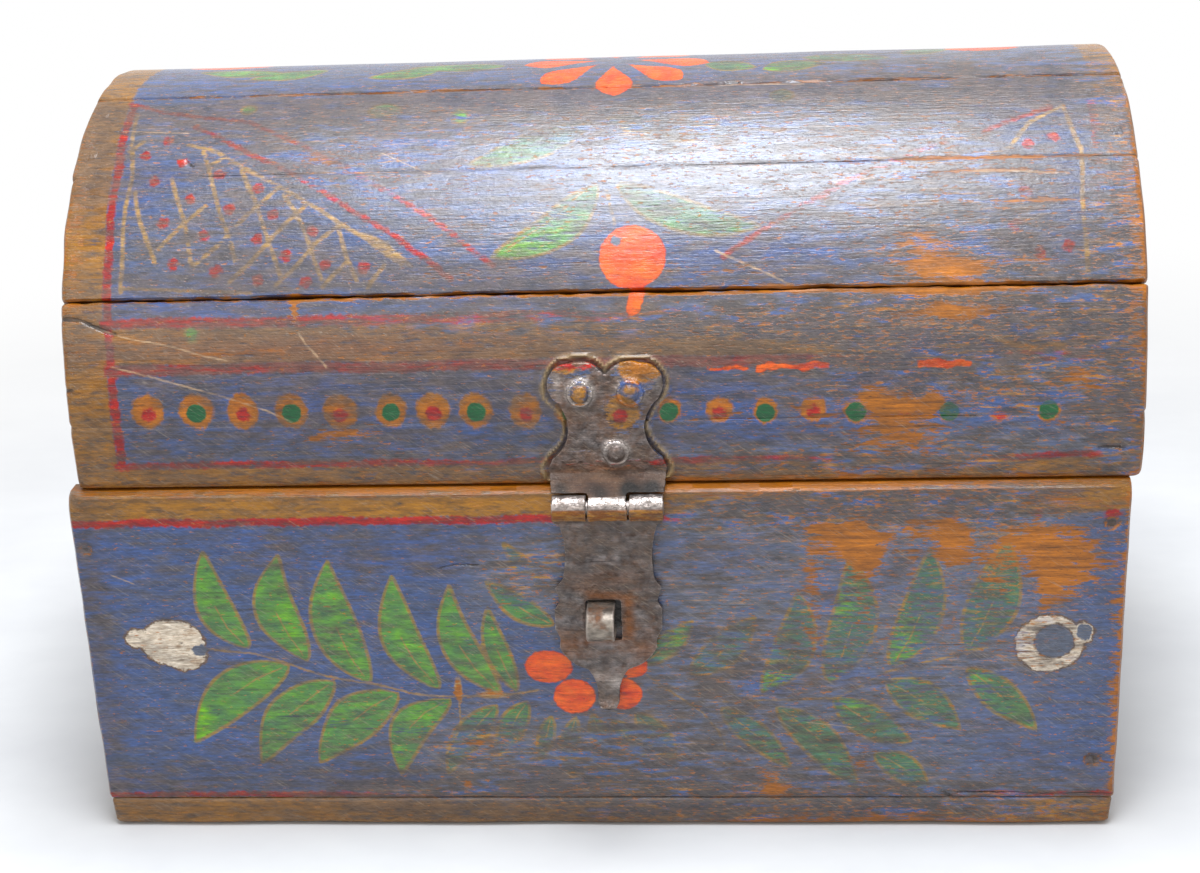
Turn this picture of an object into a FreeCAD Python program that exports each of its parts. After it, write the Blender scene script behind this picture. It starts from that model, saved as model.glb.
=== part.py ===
import FreeCAD, Part
import math
import os

import Sketcher

# A painted dome-lid storage box of nailed boards, with an iron hasp that drops over a staple.
# Millimetres, +Z up. The origin is the centre of the underside; the front faces -Y.
# The lid is turned about the rear hinge pins, and the hasp about the pin of its own barrel.

Vector = FreeCAD.Vector

# Driving dimensions: name, value, and what it measures.
DIMENSIONS = (
    ("box_width", 300.0, "length of the front, over the end boards"),
    ("box_depth", 173.0, "front face to back face of the base"),
    ("base_height", 108.7, "table to the rim of the base"),
    ("board_thickness", 10.0, "front, back and end boards"),
    ("bottom_thickness", 9.8, "bottom board, nailed on from below"),
    ("edge_radius", 1.0, "worn round on the outer edges of the base"),
    ("bottom_edge_radius", 3.0, "worn round under the bottom board"),
    ("lid_overhang", 1.0, "the staves are this much longer than the box front"),
    ("lid_shift", 2.7, "the lid sits this far to the right"),
    ("lid_setback", 4.2, "lid front behind the base front"),
    ("lid_gap", 0.3, "daylight between rim and lid"),
    ("spring_height", 19.0, "upright rail of the lid under the arch"),
    ("stave_thickness", 8.0, "stave at its joints"),
    ("lid_end_thickness", 10.0, "arched end boards of the lid"),
    ("nail_length", 21.0, "board nails, head to point"),
    ("nail_width", 1.8, "square shank under the head"),
    ("nail_tip_width", 0.7, "square shank at the point"),
    ("nail_head_width", 3.4, "square head, let in flush"),
    ("nail_head_height", 1.0, "depth of the head"),
    ("strap_thickness", 1.8, "iron of hasp and hinge plate"),
    ("hasp_pin_radius", 2.0, "pin of the hasp barrel"),
    ("hinge_pin_radius", 1.6, "pins of the rear hinges"),
    ("pin_clearance", 0.06, "round a pin that turns"),
    ("body_gap", 0.3, "between iron that swings and what it passes"),
    ("knuckle_gap", 0.4, "between neighbouring knuckles"),
    ("hasp_offset", 5.25, "middle of the hasp barrel, right of the middle of the box"),
    ("hasp_axis_drop", 3.4, "barrel axis below the rim"),
    ("barrel_length", 31.3, "hasp barrel over its knuckles"),
    ("plate_knuckle_length", 11.0, "middle knuckle, rolled from the plate"),
    ("plate_width", 31.4, "hinge plate on the lid at its widest foot"),
    ("plate_height", 35.9, "hinge plate, foot to crown"),
    ("rivet_width", 3.0, "square shank of a rivet"),
    ("rivet_head_radius", 2.6, "domed rivet head"),
    ("rivet_head_height", 1.3, "domed rivet head above its collar"),
    ("rivet_collar_radius", 4.1, "raised collar round the rivet head"),
    ("rivet_collar_height", 0.7, "raised collar round the rivet head"),
    ("rivet_burr_width", 5.2, "hammered end inside the lid"),
    ("rivet_burr_height", 1.0, "hammered end inside the lid"),
    ("hasp_length", 64.6, "barrel axis to the tip of the hasp"),
    ("hasp_lean", 2.2, "the tip hangs this far to the left"),
    ("hasp_tip_radius", 9.0, "outward curl of the hasp tip"),
    ("slot_width", 10.0, "slot in the hasp"),
    ("slot_height", 12.7, "slot in the hasp"),
    ("slot_offset", 2.55, "slot middle, left of the barrel middle"),
    ("slot_drop", 35.95, "slot middle below the barrel axis"),
    ("staple_width", 8.2, "strap of the staple"),
    ("staple_thickness", 1.8, "strap of the staple"),
    ("staple_height", 9.6, "outside of the loop, top to bottom"),
    ("staple_reach", 11.0, "loop in front of the board"),
    ("staple_clinch", 7.0, "legs bent flat inside the box"),
    ("leaf_width", 28.0, "rear hinge leaves, along the pin"),
    ("leaf_thickness", 1.5, "rear hinge leaves"),
    ("leaf_height", 28.0, "rear leaf on the base, below the pin"),
    ("leaf_knuckle_length", 9.6, "middle knuckle of a rear hinge"),
    ("leaf_corner", 5.0, "clipped corners of a leaf"),
    ("leaf_nail_length", 8.5, "nails of the rear leaves, under the head"),
    ("leaf_nail_width", 1.5, "square shank of a leaf nail"),
    ("leaf_nail_head_width", 3.6, "four-sided head of a leaf nail"),
    ("leaf_nail_head_height", 0.9, "four-sided head of a leaf nail"),
)

doc = FreeCAD.newDocument("storage_box")
sheet = doc.addObject("Spreadsheet::Sheet", "Sizes")


class Size:
    """A length as the document's expression and as the number it gives, kept side by side."""

    def __init__(self, text, number):
        self.text = text
        self.number = number

    def __add__(self, other):
        return Size(f"({self.text} + {other.text})", self.number + other.number)

    def __sub__(self, other):
        return Size(f"({self.text} - {other.text})", self.number - other.number)

    def __neg__(self):
        return Size(f"(-1 * {self.text})", -self.number)

    def __mul__(self, factor):
        return Size(f"({self.text} * {factor:.9f})", self.number * factor)

    def __truediv__(self, divisor):
        return self * (1 / divisor)


def write_sheet():
    """Fill the sheet and hand back each dimension as a Size."""
    sizes = {}
    for row, (name, value, note) in enumerate(DIMENSIONS, 1):
        sheet.set(f"A{row}", name)
        sheet.set(f"B{row}", str(value))
        sheet.set(f"C{row}", note)
        sheet.setAlias(f"B{row}", name)
        sizes[name] = Size(f"Sizes.{name}", value)
    return sizes


size = write_sheet()
doc.recompute()
zero = size["box_width"] * 0


# Sizes that follow from the driving ones.
front_y = -size["box_depth"] / 2
back_y = size["box_depth"] / 2
rim_z = size["base_height"]
wall_height = size["base_height"] - size["bottom_thickness"]
inner_depth = size["box_depth"] - size["board_thickness"] * 2

lid_width = size["box_width"] + size["lid_overhang"]
lid_radius = (size["box_depth"] - size["lid_setback"]) / 2
lid_inner_radius = lid_radius - size["stave_thickness"]
lid_front_y = front_y + size["lid_setback"]
lid_center_y = size["lid_setback"] / 2
lid_foot_z = rim_z + size["lid_gap"]
spring_z = lid_foot_z + size["spring_height"]

hasp_bore_radius = size["hasp_pin_radius"] + size["pin_clearance"]
hasp_barrel_radius = hasp_bore_radius + size["strap_thickness"]
hasp_axis_y = front_y - size["body_gap"] - hasp_barrel_radius
hasp_axis_z = rim_z - size["hasp_axis_drop"]
plate_foot_z = hasp_axis_z + hasp_barrel_radius + size["knuckle_gap"]

leaf_bore_radius = size["hinge_pin_radius"] + size["pin_clearance"]
leaf_barrel_radius = leaf_bore_radius + size["leaf_thickness"]
hinge_axis_y = back_y + size["body_gap"] + leaf_barrel_radius
hinge_axis_z = rim_z + size["lid_gap"] / 2

# Turns in degrees, and as shares of the half turn from the front of the arch to its back:
# three staves up to the crown stave, and the same again behind it.
quarter_turn = 90
half_turn = 180
front_joint_shares = (0.0, 0.137, 0.28, 0.414)
joint_shares = front_joint_shares + tuple(1 - share for share in reversed(front_joint_shares))


def bind(thing, place, value):
    """Tie one property of an object to the sheet."""
    thing.setExpression(place, value.text)


def put(thing, x=zero, y=zero, z=zero, axis=Vector(1, 0, 0), angle=0):
    """Give an object its Placement: a fixed turn, and a position tied to the sheet."""
    thing.Placement = FreeCAD.Placement(
        Vector(x.number, y.number, z.number), FreeCAD.Rotation(axis, angle)
    )
    bind(thing, "Placement.Base.x", x)
    bind(thing, "Placement.Base.y", y)
    bind(thing, "Placement.Base.z", z)


def new_body(name):
    body = doc.addObject("PartDesign::Body", name)
    body.Label = name
    return body


def new_sketch(body, name, role):
    """A sketch on one of the body's own origin planes."""
    plane = next(item for item in body.Origin.OriginFeatures if item.Role == role)
    sketch = body.newObject("Sketcher::SketchObject", name)
    sketch.AttachmentSupport = [(plane, "")]
    sketch.MapMode = "FlatFace"
    return sketch


def dimension(sketch, kind, geometry, point, value, name):
    """Hold a point's distance from the sketch origin along one sketch axis."""
    if value.number < 0:
        rule = Sketcher.Constraint(kind, geometry, point, -1, 1, -value.number)
        text = (-value).text
    else:
        rule = Sketcher.Constraint(kind, -1, 1, geometry, point, value.number)
        text = value.text
    index = sketch.addConstraint(rule)
    sketch.renameConstraint(index, name)
    sketch.setExpression(f"Constraints.{name}", text)


def hold_point(sketch, geometry, point, place, name):
    """Dimension a point both ways; one that lies on an axis is tied to the axis instead."""
    across, up = place
    if abs(across.number) < Part.Precision.confusion():
        sketch.addConstraint(Sketcher.Constraint("PointOnObject", geometry, point, -2))
    else:
        dimension(sketch, "DistanceX", geometry, point, across, f"{name}_across")
    if abs(up.number) < Part.Precision.confusion():
        sketch.addConstraint(Sketcher.Constraint("PointOnObject", geometry, point, -1))
    else:
        dimension(sketch, "DistanceY", geometry, point, up, f"{name}_up")


def at(place):
    return Vector(place[0].number, place[1].number, 0)


def end_point(sketch, geometry, place):
    """Which end of an edge lies at a place: 1 is its start and 2 its end."""
    near_start = sketch.getPoint(geometry, 1).distanceToPoint(at(place))
    near_end = sketch.getPoint(geometry, 2).distanceToPoint(at(place))
    return 1 if near_start < near_end else 2


def draw_outline(sketch, corners, bulges, prefix="p"):
    """Draw a closed outline through the corners. A bulge turns the side that starts at that
    corner into an arc through the given point."""
    sides = []
    for index, corner in enumerate(corners):
        following = corners[(index + 1) % len(corners)]
        if index in bulges:
            arc = Part.Arc(at(corner), at(bulges[index]), at(following))
            side = sketch.addGeometry(arc, False)
            middle = sketch.addGeometry(Part.Point(at(bulges[index])), True)
            sketch.addConstraint(Sketcher.Constraint("PointOnObject", middle, 1, side))
            hold_point(sketch, middle, 1, bulges[index], f"{prefix}{index}_middle")
        else:
            side = sketch.addGeometry(Part.LineSegment(at(corner), at(following)), False)
        sides.append(side)
    for index, corner in enumerate(corners):
        before = sides[index - 1]
        after = sides[index]
        leaving = end_point(sketch, after, corner)
        arriving = end_point(sketch, before, corner)
        sketch.addConstraint(
            Sketcher.Constraint("Coincident", before, arriving, after, leaving)
        )
        hold_point(sketch, after, leaving, corner, f"{prefix}{index}")


def draw_circle(sketch, place, radius, name):
    """A circle held by its centre and radius."""
    circle = sketch.addGeometry(Part.Circle(at(place), Vector(0, 0, 1), radius.number), False)
    hold_point(sketch, circle, 3, place, f"{name}_centre")
    index = sketch.addConstraint(Sketcher.Constraint("Radius", circle, radius.number))
    sketch.renameConstraint(index, f"{name}_radius")
    sketch.setExpression(f"Constraints.{name}_radius", radius.text)


def rectangle(low_across, high_across, low_up, high_up):
    return (
        (low_across, low_up),
        (high_across, low_up),
        (high_across, high_up),
        (low_across, high_up),
    )


def pad(body, sketch, length, name, symmetric=True):
    feature = body.newObject("PartDesign::Pad", name)
    feature.Profile = sketch
    if symmetric:
        feature.SideType = "Symmetric"
    bind(feature, "Length", length)
    return feature


def pocket_through(body, sketch, length, name):
    """Cut a sketch out of the body to both sides of its plane."""
    feature = body.newObject("PartDesign::Pocket", name)
    feature.Profile = sketch
    feature.SideType = "Symmetric"
    bind(feature, "Length", length)
    return feature


def edges_where(shape, test):
    return [f"Edge{number}" for number, edge in enumerate(shape.Edges, 1) if test(edge)]


def round_edges(body, feature, test, radius, name):
    doc.recompute()
    fillet = body.newObject("PartDesign::Fillet", name)
    fillet.Base = (feature, edges_where(feature.Shape, test))
    bind(fillet, "Radius", radius)
    return fillet


def bored(name, blank, irons):
    """The finished board: the blank with the places of its nails and irons cut out of it."""
    cut = doc.addObject("Part::Cut", name)
    cut.Label = name
    cut.Base = blank
    if len(irons) == 1:
        cut.Tool = irons[0]
    else:
        together = doc.addObject("Part::Compound", f"{name}_irons")
        together.Links = irons
        cut.Tool = together
    return cut


def lies_at(edge, axis, value):
    """True where every point of the edge has this coordinate."""
    box = edge.BoundBox
    low = (box.XMin, box.YMin, box.ZMin)[axis]
    high = (box.XMax, box.YMax, box.ZMax)[axis]
    near = Part.Precision.confusion() * 10
    return abs(low - value.number) < near and abs(high - value.number) < near


# Nails. One of each kind is made, and every place gets a linked copy of it.

def tapered(name, width, far_width, length, angle):
    """A square bar that starts on the origin plane and tapers away from it, turned about X."""
    bar = doc.addObject("Part::Wedge", name)
    for side, sign in (("min", -1), ("max", 1)):
        bind(bar, f"X{side}", width / 2 * sign)
        bind(bar, f"Z{side}", width / 2 * sign)
        bind(bar, f"X2{side}", far_width / 2 * sign)
        bind(bar, f"Z2{side}", far_width / 2 * sign)
    bind(bar, "Ymin", zero)
    bind(bar, "Ymax", length)
    bar.Placement.Rotation = FreeCAD.Rotation(Vector(1, 0, 0), angle)
    return bar


def square_nail():
    """A cut nail that points down from the origin, its head let in flush with it."""
    tip = size["nail_tip_width"]
    shank = tapered("nail_shank", size["nail_width"], tip, size["nail_length"], -quarter_turn)
    head = doc.addObject("Part::Box", "nail_head")
    bind(head, "Length", size["nail_head_width"])
    bind(head, "Width", size["nail_head_width"])
    bind(head, "Height", size["nail_head_height"])
    put(head, -size["nail_head_width"] / 2, -size["nail_head_width"] / 2, -size["nail_head_height"])
    nail = doc.addObject("Part::Fuse", "nail")
    nail.Base = shank
    nail.Tool = head
    return nail


def leaf_nail():
    """A small nail that points down, its four-sided head standing on the origin plane."""
    width = size["leaf_nail_width"]
    length = size["leaf_nail_length"]
    shank = tapered("leaf_nail_shank", width, width / 2, length, -quarter_turn)
    width = size["leaf_nail_head_width"]
    height = size["leaf_nail_head_height"]
    head = tapered("leaf_nail_head", width, width / 2, height, quarter_turn)
    nail = doc.addObject("Part::Fuse", "small_nail")
    nail.Base = shank
    nail.Tool = head
    return nail


def linked(master, name, x, y, z, axis, angle):
    link = doc.addObject("App::Link", name)
    link.LinkedObject = master
    put(link, x, y, z, axis, angle)
    return link


def group(name, links):
    """Several separate fasteners that share one node."""
    compound = doc.addObject("Part::Compound", name)
    compound.Label = name
    compound.Links = links
    return compound


nail = square_nail()
small_nail = leaf_nail()
along_x = Vector(1, 0, 0)
along_y = Vector(0, 1, 0)

end_board_x = size["box_width"] / 2 - size["board_thickness"] / 2
wall_nail_rise_shares = (0.205, 0.54, 0.89)
bottom_nail_run_shares = (-0.42, -0.15, 0.15, 0.42)


def wall_nails(name, y, angle):
    """Nails through the front or back board into the end grain of the end boards."""
    links = []
    for sign in (-1, 1):
        for row, share in enumerate(wall_nail_rise_shares):
            place = f"{name}_{'left' if sign < 0 else 'right'}_{row}"
            links.append(
                linked(nail, place, end_board_x * sign, y, rim_z * share, along_x, angle)
            )
    return group(name, links)


front_nails = wall_nails("front_nails", front_y, quarter_turn)
back_nails = wall_nails("back_nails", back_y, -quarter_turn)


def nails_from_below():
    """Nails up through the bottom board into the four walls."""
    wall_y = back_y - size["board_thickness"] / 2
    links = []
    for sign in (-1, 1):
        for column, share in enumerate(bottom_nail_run_shares):
            x = size["box_width"] * share
            place = f"bottom_nail_{sign}_{column}"
            links.append(linked(nail, place, x, wall_y * sign, zero, along_x, half_turn))
        place = f"bottom_nail_end_{sign}"
        links.append(linked(nail, place, end_board_x * sign, zero, zero, along_x, half_turn))
    return group("bottom_nails", links)


bottom_nails = nails_from_below()

# Each stave has two nails at either end, at these shares of its own width, and each rail one.
stave_nail_shares = (0.25, 0.75)
rail_nail_rise_share = 0.55
rail_nail_z = lid_foot_z + size["spring_height"] * rail_nail_rise_share
lid_end_x = lid_width / 2 - size["lid_end_thickness"] / 2


def lid_nail_places():
    """Angle of every nail round the arch, in degrees from the front spring line."""
    angles = []
    for low, high in zip(joint_shares, joint_shares[1:]):
        for share in stave_nail_shares:
            angles.append(half_turn * (low + (high - low) * share))
    return angles


def nails_of_lid():
    """Nails through the rails and staves into the arched end boards."""
    links = []
    faces = (("front", lid_front_y, quarter_turn), ("back", back_y, -quarter_turn))
    for sign in (-1, 1):
        x = size["lid_shift"] + lid_end_x * sign
        for number, angle in enumerate(lid_nail_places()):
            turn = math.radians(angle)
            y = lid_center_y - lid_radius * math.cos(turn)
            z = spring_z + lid_radius * math.sin(turn)
            place = f"lid_nail_{sign}_{number}"
            links.append(linked(nail, place, x, y, z, along_x, quarter_turn - angle))
        for side, y, angle in faces:
            place = f"rail_nail_{side}_{sign}"
            links.append(linked(nail, place, x, y, rail_nail_z, along_x, angle))
    return group("lid_nails", links)


lid_nails = nails_of_lid()

# Rear hinges: a leaf on the base with the middle knuckle, a leaf on the lid with the outer
# two, and a pin held in the middle knuckle. Places on the leaves are shares of their size,
# and places round the arch are shares of its half turn, counted from the back.
hinge_places = (("left", -1), ("right", 1))
hinge_run_share = 0.3
leaf_nail_column_share = 0.32
leaf_nail_low_share = 0.82
leaf_nail_high_share = 0.42
lid_leaf_top_share = 0.045
lid_leaf_nail_share = 0.021


def hinge_x(sign):
    return size["box_width"] * (hinge_run_share * sign)


def nails_of_base_leaves():
    """Three nails in a triangle through each leaf of the base."""
    links = []
    y = back_y + size["leaf_thickness"]
    triangle = (
        (-leaf_nail_column_share, leaf_nail_high_share),
        (leaf_nail_column_share, leaf_nail_high_share),
        (0, leaf_nail_low_share),
    )
    for side, sign in hinge_places:
        for number, (across, down) in enumerate(triangle):
            x = hinge_x(sign) + size["leaf_width"] * across
            z = hinge_axis_z - size["leaf_height"] * down
            place = f"{side}_base_leaf_nail_{number}"
            links.append(linked(small_nail, place, x, y, z, along_x, -quarter_turn))
    return group("base_leaf_nails", links)


def nails_of_lid_leaves():
    """Two nails into the back rail and one into the arch through each leaf of the lid."""
    links = []
    low_y = back_y + size["leaf_thickness"]
    turn = math.pi * lid_leaf_nail_share
    lean = half_turn * lid_leaf_nail_share - quarter_turn
    outer = lid_radius + size["leaf_thickness"]
    high_y = lid_center_y + outer * math.cos(turn)
    high_z = spring_z + outer * math.sin(turn)
    for side, sign in hinge_places:
        for number, share in enumerate((-leaf_nail_column_share, leaf_nail_column_share)):
            x = hinge_x(sign) + size["leaf_width"] * share
            place = f"{side}_lid_leaf_nail_{number}"
            links.append(linked(small_nail, place, x, low_y, rail_nail_z, along_x, -quarter_turn))
        place = f"{side}_lid_leaf_nail_top"
        links.append(linked(small_nail, place, hinge_x(sign), high_y, high_z, along_x, lean))
    return group("lid_leaf_nails", links)


base_leaf_nails = nails_of_base_leaves()
lid_leaf_nails = nails_of_lid_leaves()


def add_knuckle(body, name, middle_x, length, bore_radius, barrel_radius, axis_y, axis_z):
    """Roll one knuckle round the pin: a ring padded along the pin, at its place on it."""
    sketch = new_sketch(body, f"{name}_ring", "YZ_Plane")
    draw_circle(sketch, (axis_y, axis_z), barrel_radius, "outside")
    draw_circle(sketch, (axis_y, axis_z), bore_radius, "bore")
    sketch.AttachmentOffset = FreeCAD.Placement(Vector(0, 0, middle_x.number), FreeCAD.Rotation())
    bind(sketch, "AttachmentOffset.Base.z", middle_x)
    return pad(body, sketch, length, name)


def add_strip(body, name, corners, bulges, middle_x, width):
    """Pad a profile drawn from the side, symmetric about its own place along the pin."""
    sketch = new_sketch(body, f"{name}_profile", "YZ_Plane")
    draw_outline(sketch, corners, bulges)
    sketch.AttachmentOffset = FreeCAD.Placement(Vector(0, 0, middle_x.number), FreeCAD.Rotation())
    bind(sketch, "AttachmentOffset.Base.z", middle_x)
    return pad(body, sketch, width, name)


leaf_clear = leaf_barrel_radius + size["knuckle_gap"]
outer_knuckle_length = (size["leaf_width"] - size["leaf_knuckle_length"]) / 2 - size["knuckle_gap"]
outer_knuckle_x = size["leaf_width"] / 2 - outer_knuckle_length / 2


def clip_corners(body, feature, test):
    doc.recompute()
    chamfer = body.newObject("PartDesign::Chamfer", f"{body.Name}_clip")
    chamfer.Base = (feature, edges_where(feature.Shape, test))
    bind(chamfer, "Size", size["leaf_corner"])
    return chamfer


def through_leaf(edge):
    """True for the short edges through the leaf's thickness at its two sides."""
    box = edge.BoundBox
    at_side = abs(abs(box.XMax) - size["leaf_width"].number / 2) < size["body_gap"].number
    return at_side and box.XLength < size["body_gap"].number


def base_leaf(side, sign):
    """Straight leaf on the back board, with the middle knuckle."""
    body = new_body(f"{side}_hinge_base_leaf_blank")
    outer_y = back_y + size["leaf_thickness"]
    foot = hinge_axis_z - size["leaf_height"]
    corners = rectangle(back_y, outer_y, foot, hinge_axis_z - leaf_clear)
    leaf = add_strip(body, f"{side}_base_leaf", corners, {}, zero, size["leaf_width"])

    def foot_corner(edge):
        return through_leaf(edge) and lies_at(edge, 2, foot)

    clip_corners(body, leaf, foot_corner)
    corners = rectangle(back_y, outer_y, hinge_axis_z - leaf_clear, hinge_axis_z)
    add_strip(body, f"{side}_base_tab", corners, {}, zero, size["leaf_knuckle_length"])
    add_knuckle(body, f"{side}_base_knuckle", zero, size["leaf_knuckle_length"],
                size["hinge_pin_radius"], leaf_barrel_radius, hinge_axis_y, hinge_axis_z)
    put(body, hinge_x(sign))
    return bored(f"{side}_hinge_base_leaf", body, [base_leaf_nails])


def lid_leaf(side, sign):
    """Leaf bent to the back of the arch, with the two outer knuckles."""
    body = new_body(f"{side}_hinge_lid_leaf_blank")
    outer_y = back_y + size["leaf_thickness"]
    outer = lid_radius + size["leaf_thickness"]
    low = hinge_axis_z + leaf_clear
    turn = math.pi * lid_leaf_top_share

    def on_arch(radius, angle):
        return (lid_center_y + radius * math.cos(angle), spring_z + radius * math.sin(angle))

    top = on_arch(lid_radius, turn)
    corners = (
        (back_y, low),
        (back_y, spring_z),
        top,
        on_arch(outer, turn),
        (outer_y, spring_z),
        (outer_y, low),
    )
    bulges = {1: on_arch(lid_radius, turn / 2), 3: on_arch(outer, turn / 2)}
    leaf = add_strip(body, f"{side}_lid_leaf", corners, bulges, zero, size["leaf_width"])

    def top_corner(edge):
        near = abs(edge.BoundBox.ZMin - top[1].number) < size["body_gap"].number
        return through_leaf(edge) and near

    clip_corners(body, leaf, top_corner)
    for place, share in (("first", -1), ("second", 1)):
        middle = outer_knuckle_x * share
        tab = rectangle(back_y, outer_y, hinge_axis_z, low)
        add_strip(body, f"{side}_lid_tab_{place}", tab, {}, middle, outer_knuckle_length)
        add_knuckle(body, f"{side}_lid_knuckle_{place}", middle, outer_knuckle_length,
                    leaf_bore_radius, leaf_barrel_radius, hinge_axis_y, hinge_axis_z)
    put(body, hinge_x(sign))
    return bored(f"{side}_hinge_lid_leaf", body, [lid_leaf_nails])


def pin(name, middle_x, length, radius, y, z):
    """A plain pin along X."""
    rod = doc.addObject("Part::Cylinder", name)
    rod.Label = name
    bind(rod, "Radius", radius)
    bind(rod, "Height", length)
    put(rod, middle_x - length / 2, y, z, along_y, quarter_turn)
    return rod


nodes = []
for hinge_side, hinge_sign in hinge_places:
    nodes.append(base_leaf(hinge_side, hinge_sign))
    nodes.append(lid_leaf(hinge_side, hinge_sign))
    nodes.append(pin(f"{hinge_side}_hinge_pin", hinge_x(hinge_sign), size["leaf_width"],
                     size["hinge_pin_radius"], hinge_axis_y, hinge_axis_z))
nodes += [base_leaf_nails, lid_leaf_nails, front_nails, back_nails, bottom_nails, lid_nails]


# Hasp gear on the front. The lid plate owns the middle knuckle and the hasp the outer two.

foot_slope = math.radians(28)
foot_along = (math.cos(foot_slope), math.sin(foot_slope))
foot_normal = (-math.sin(foot_slope), math.cos(foot_slope))
plate_top_share = 0.0842


def plate_profile():
    """Section of the hinge plate: it follows the lid, then its foot steps forward over the rim
    and meets the knuckle."""
    outer = lid_radius + size["strap_thickness"]
    turn = math.pi * plate_top_share

    def on_arch(radius, angle):
        return (lid_center_y - radius * math.cos(angle), spring_z + radius * math.sin(angle))

    def foot_starts(radius):
        """Where a face of the foot leaves the knuckle, square to its slope."""
        along, up = foot_normal
        return (hasp_axis_y + radius * along, hasp_axis_z + radius * up)

    def foot_meets(radius, face_y):
        """Where the same face of the foot meets the plate's upright face."""
        start_y, start_z = foot_starts(radius)
        run = (face_y - start_y) / foot_along[0]
        return (face_y, start_z + run * foot_along[1])

    outer_face_y = lid_front_y - size["strap_thickness"]
    corners = (
        on_arch(lid_radius, turn),
        (lid_front_y, spring_z),
        foot_meets(hasp_bore_radius, lid_front_y),
        foot_starts(hasp_bore_radius),
        foot_starts(hasp_barrel_radius),
        foot_meets(hasp_barrel_radius, outer_face_y),
        (outer_face_y, spring_z),
        on_arch(outer, turn),
    )
    bulges = {0: on_arch(lid_radius, turn / 2), 6: on_arch(outer, turn / 2)}
    return corners, bulges


# Right half of the plate's outline, from its foot up to the notch in the crown:
# shares of the plate's width from its middle, and of its height from the foot.
plate_edge_shares = (
    (0.505, 0.0), (0.535, 0.14), (0.49, 0.225), (0.465, 0.70), (0.31, 0.985), (0.0, 0.893),
)
plate_bulge_shares = {2: (0.345, 0.485), 3: (0.507, 0.87), 4: (0.13, 0.985)}

# Right half of the hasp's outline, from the knuckles down to the tip: shares of the barrel
# length from the middle, and of the hasp's length down from the pin.
hasp_edge_shares = (
    (0.5, 0.088), (0.448, 0.1), (0.425, 0.355), (0.49, 0.395), (0.455, 0.465), (0.497, 0.50),
    (0.497, 0.60), (0.452, 0.645), (0.45, 0.69), (0.19, 0.80), (0.10, 0.935), (0.0, 1.0),
)
hasp_bulge_shares = {1: (0.40, 0.22), 8: (0.355, 0.757), 9: (0.125, 0.86), 10: (0.07, 0.985)}


def mirrored(edge_shares, bulge_shares, place, closes_on_middle):
    """Both halves of an outline from its right half. place turns shares into a point. The
    right half runs first; the left half comes back the other way."""
    right = [place(across, along) for across, along in edge_shares]
    left_shares = edge_shares[:-1] if closes_on_middle else edge_shares
    left = [place(-across, along) for across, along in reversed(left_shares)]
    last_side = 2 * (len(edge_shares) - 1)
    bulges = {}
    for side, (across, along) in bulge_shares.items():
        bulges[side] = place(across, along)
        bulges[last_side - 1 - side] = place(-across, along)
    return right + left, bulges


def keep_inside(body, name, corners, bulges, reach):
    """Saw the strip to an outline: everything between the outline and a wide frame goes."""
    sketch = new_sketch(body, f"{name}_outline", "XZ_Plane")
    draw_outline(sketch, corners, bulges)
    low = min(corner[1].number for corner in corners)
    high = max(corner[1].number for corner in corners)
    bottom = next(corner[1] for corner in corners if corner[1].number == low)
    top = next(corner[1] for corner in corners if corner[1].number == high)
    frame = rectangle(-reach, reach, bottom - reach, top + reach)
    draw_outline(sketch, frame, {}, "frame")
    return pocket_through(body, sketch, size["box_depth"] * 2, name)


# The rivets: how far their shanks reach through the wood, as a share of the stave, the flats
# that the hammer left on their heads, and their places on the plate as shares of its size.
rivet_grip_share = 1.19
crown_across_share = 0.42
shoulder_across_share = 0.84
shoulder_up_share = 0.55
upper_rivet_rise_share = 0.755
upper_rivet_across_share = 0.222
lower_rivet_rise_share = 0.27
lower_rivet_across_share = 0.08


def rivet(name, x, y, z, angle):
    """A rivet: round collar and head outside, square shank through the wood, its end hammered
    wide inside."""
    body = new_body(name)
    sketch = new_sketch(body, f"{name}_section", "XZ_Plane")
    head = size["rivet_head_radius"]
    collar = size["rivet_collar_radius"]
    rise = size["rivet_collar_height"]
    top = rise + size["rivet_head_height"]
    corners = (
        (zero, top),
        (head * crown_across_share, top),
        (head * shoulder_across_share, rise + size["rivet_head_height"] * shoulder_up_share),
        (head, rise),
        (collar - rise, rise),
        (collar, zero),
        (zero, zero),
    )
    draw_outline(sketch, corners, {})
    turned = body.newObject("PartDesign::Revolution", f"{name}_turned")
    turned.Profile = sketch
    turned.ReferenceAxis = (sketch, ["V_Axis"])
    turned.Angle = 2 * half_turn

    through = -(size["stave_thickness"] * rivet_grip_share + size["strap_thickness"])
    half = size["rivet_width"] / 2
    shank = rectangle(-half, half, through, zero)
    add_strip(body, f"{name}_shank", shank, {}, zero, size["rivet_width"])
    wide = size["rivet_burr_width"] / 2
    end = through - size["rivet_burr_height"]
    burr = ((-wide, through), (wide, through), (half, end), (-half, end))
    add_strip(body, f"{name}_burr", burr, {}, zero, size["rivet_burr_width"])
    put(body, x, y, z, along_x, angle)
    return body


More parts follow.
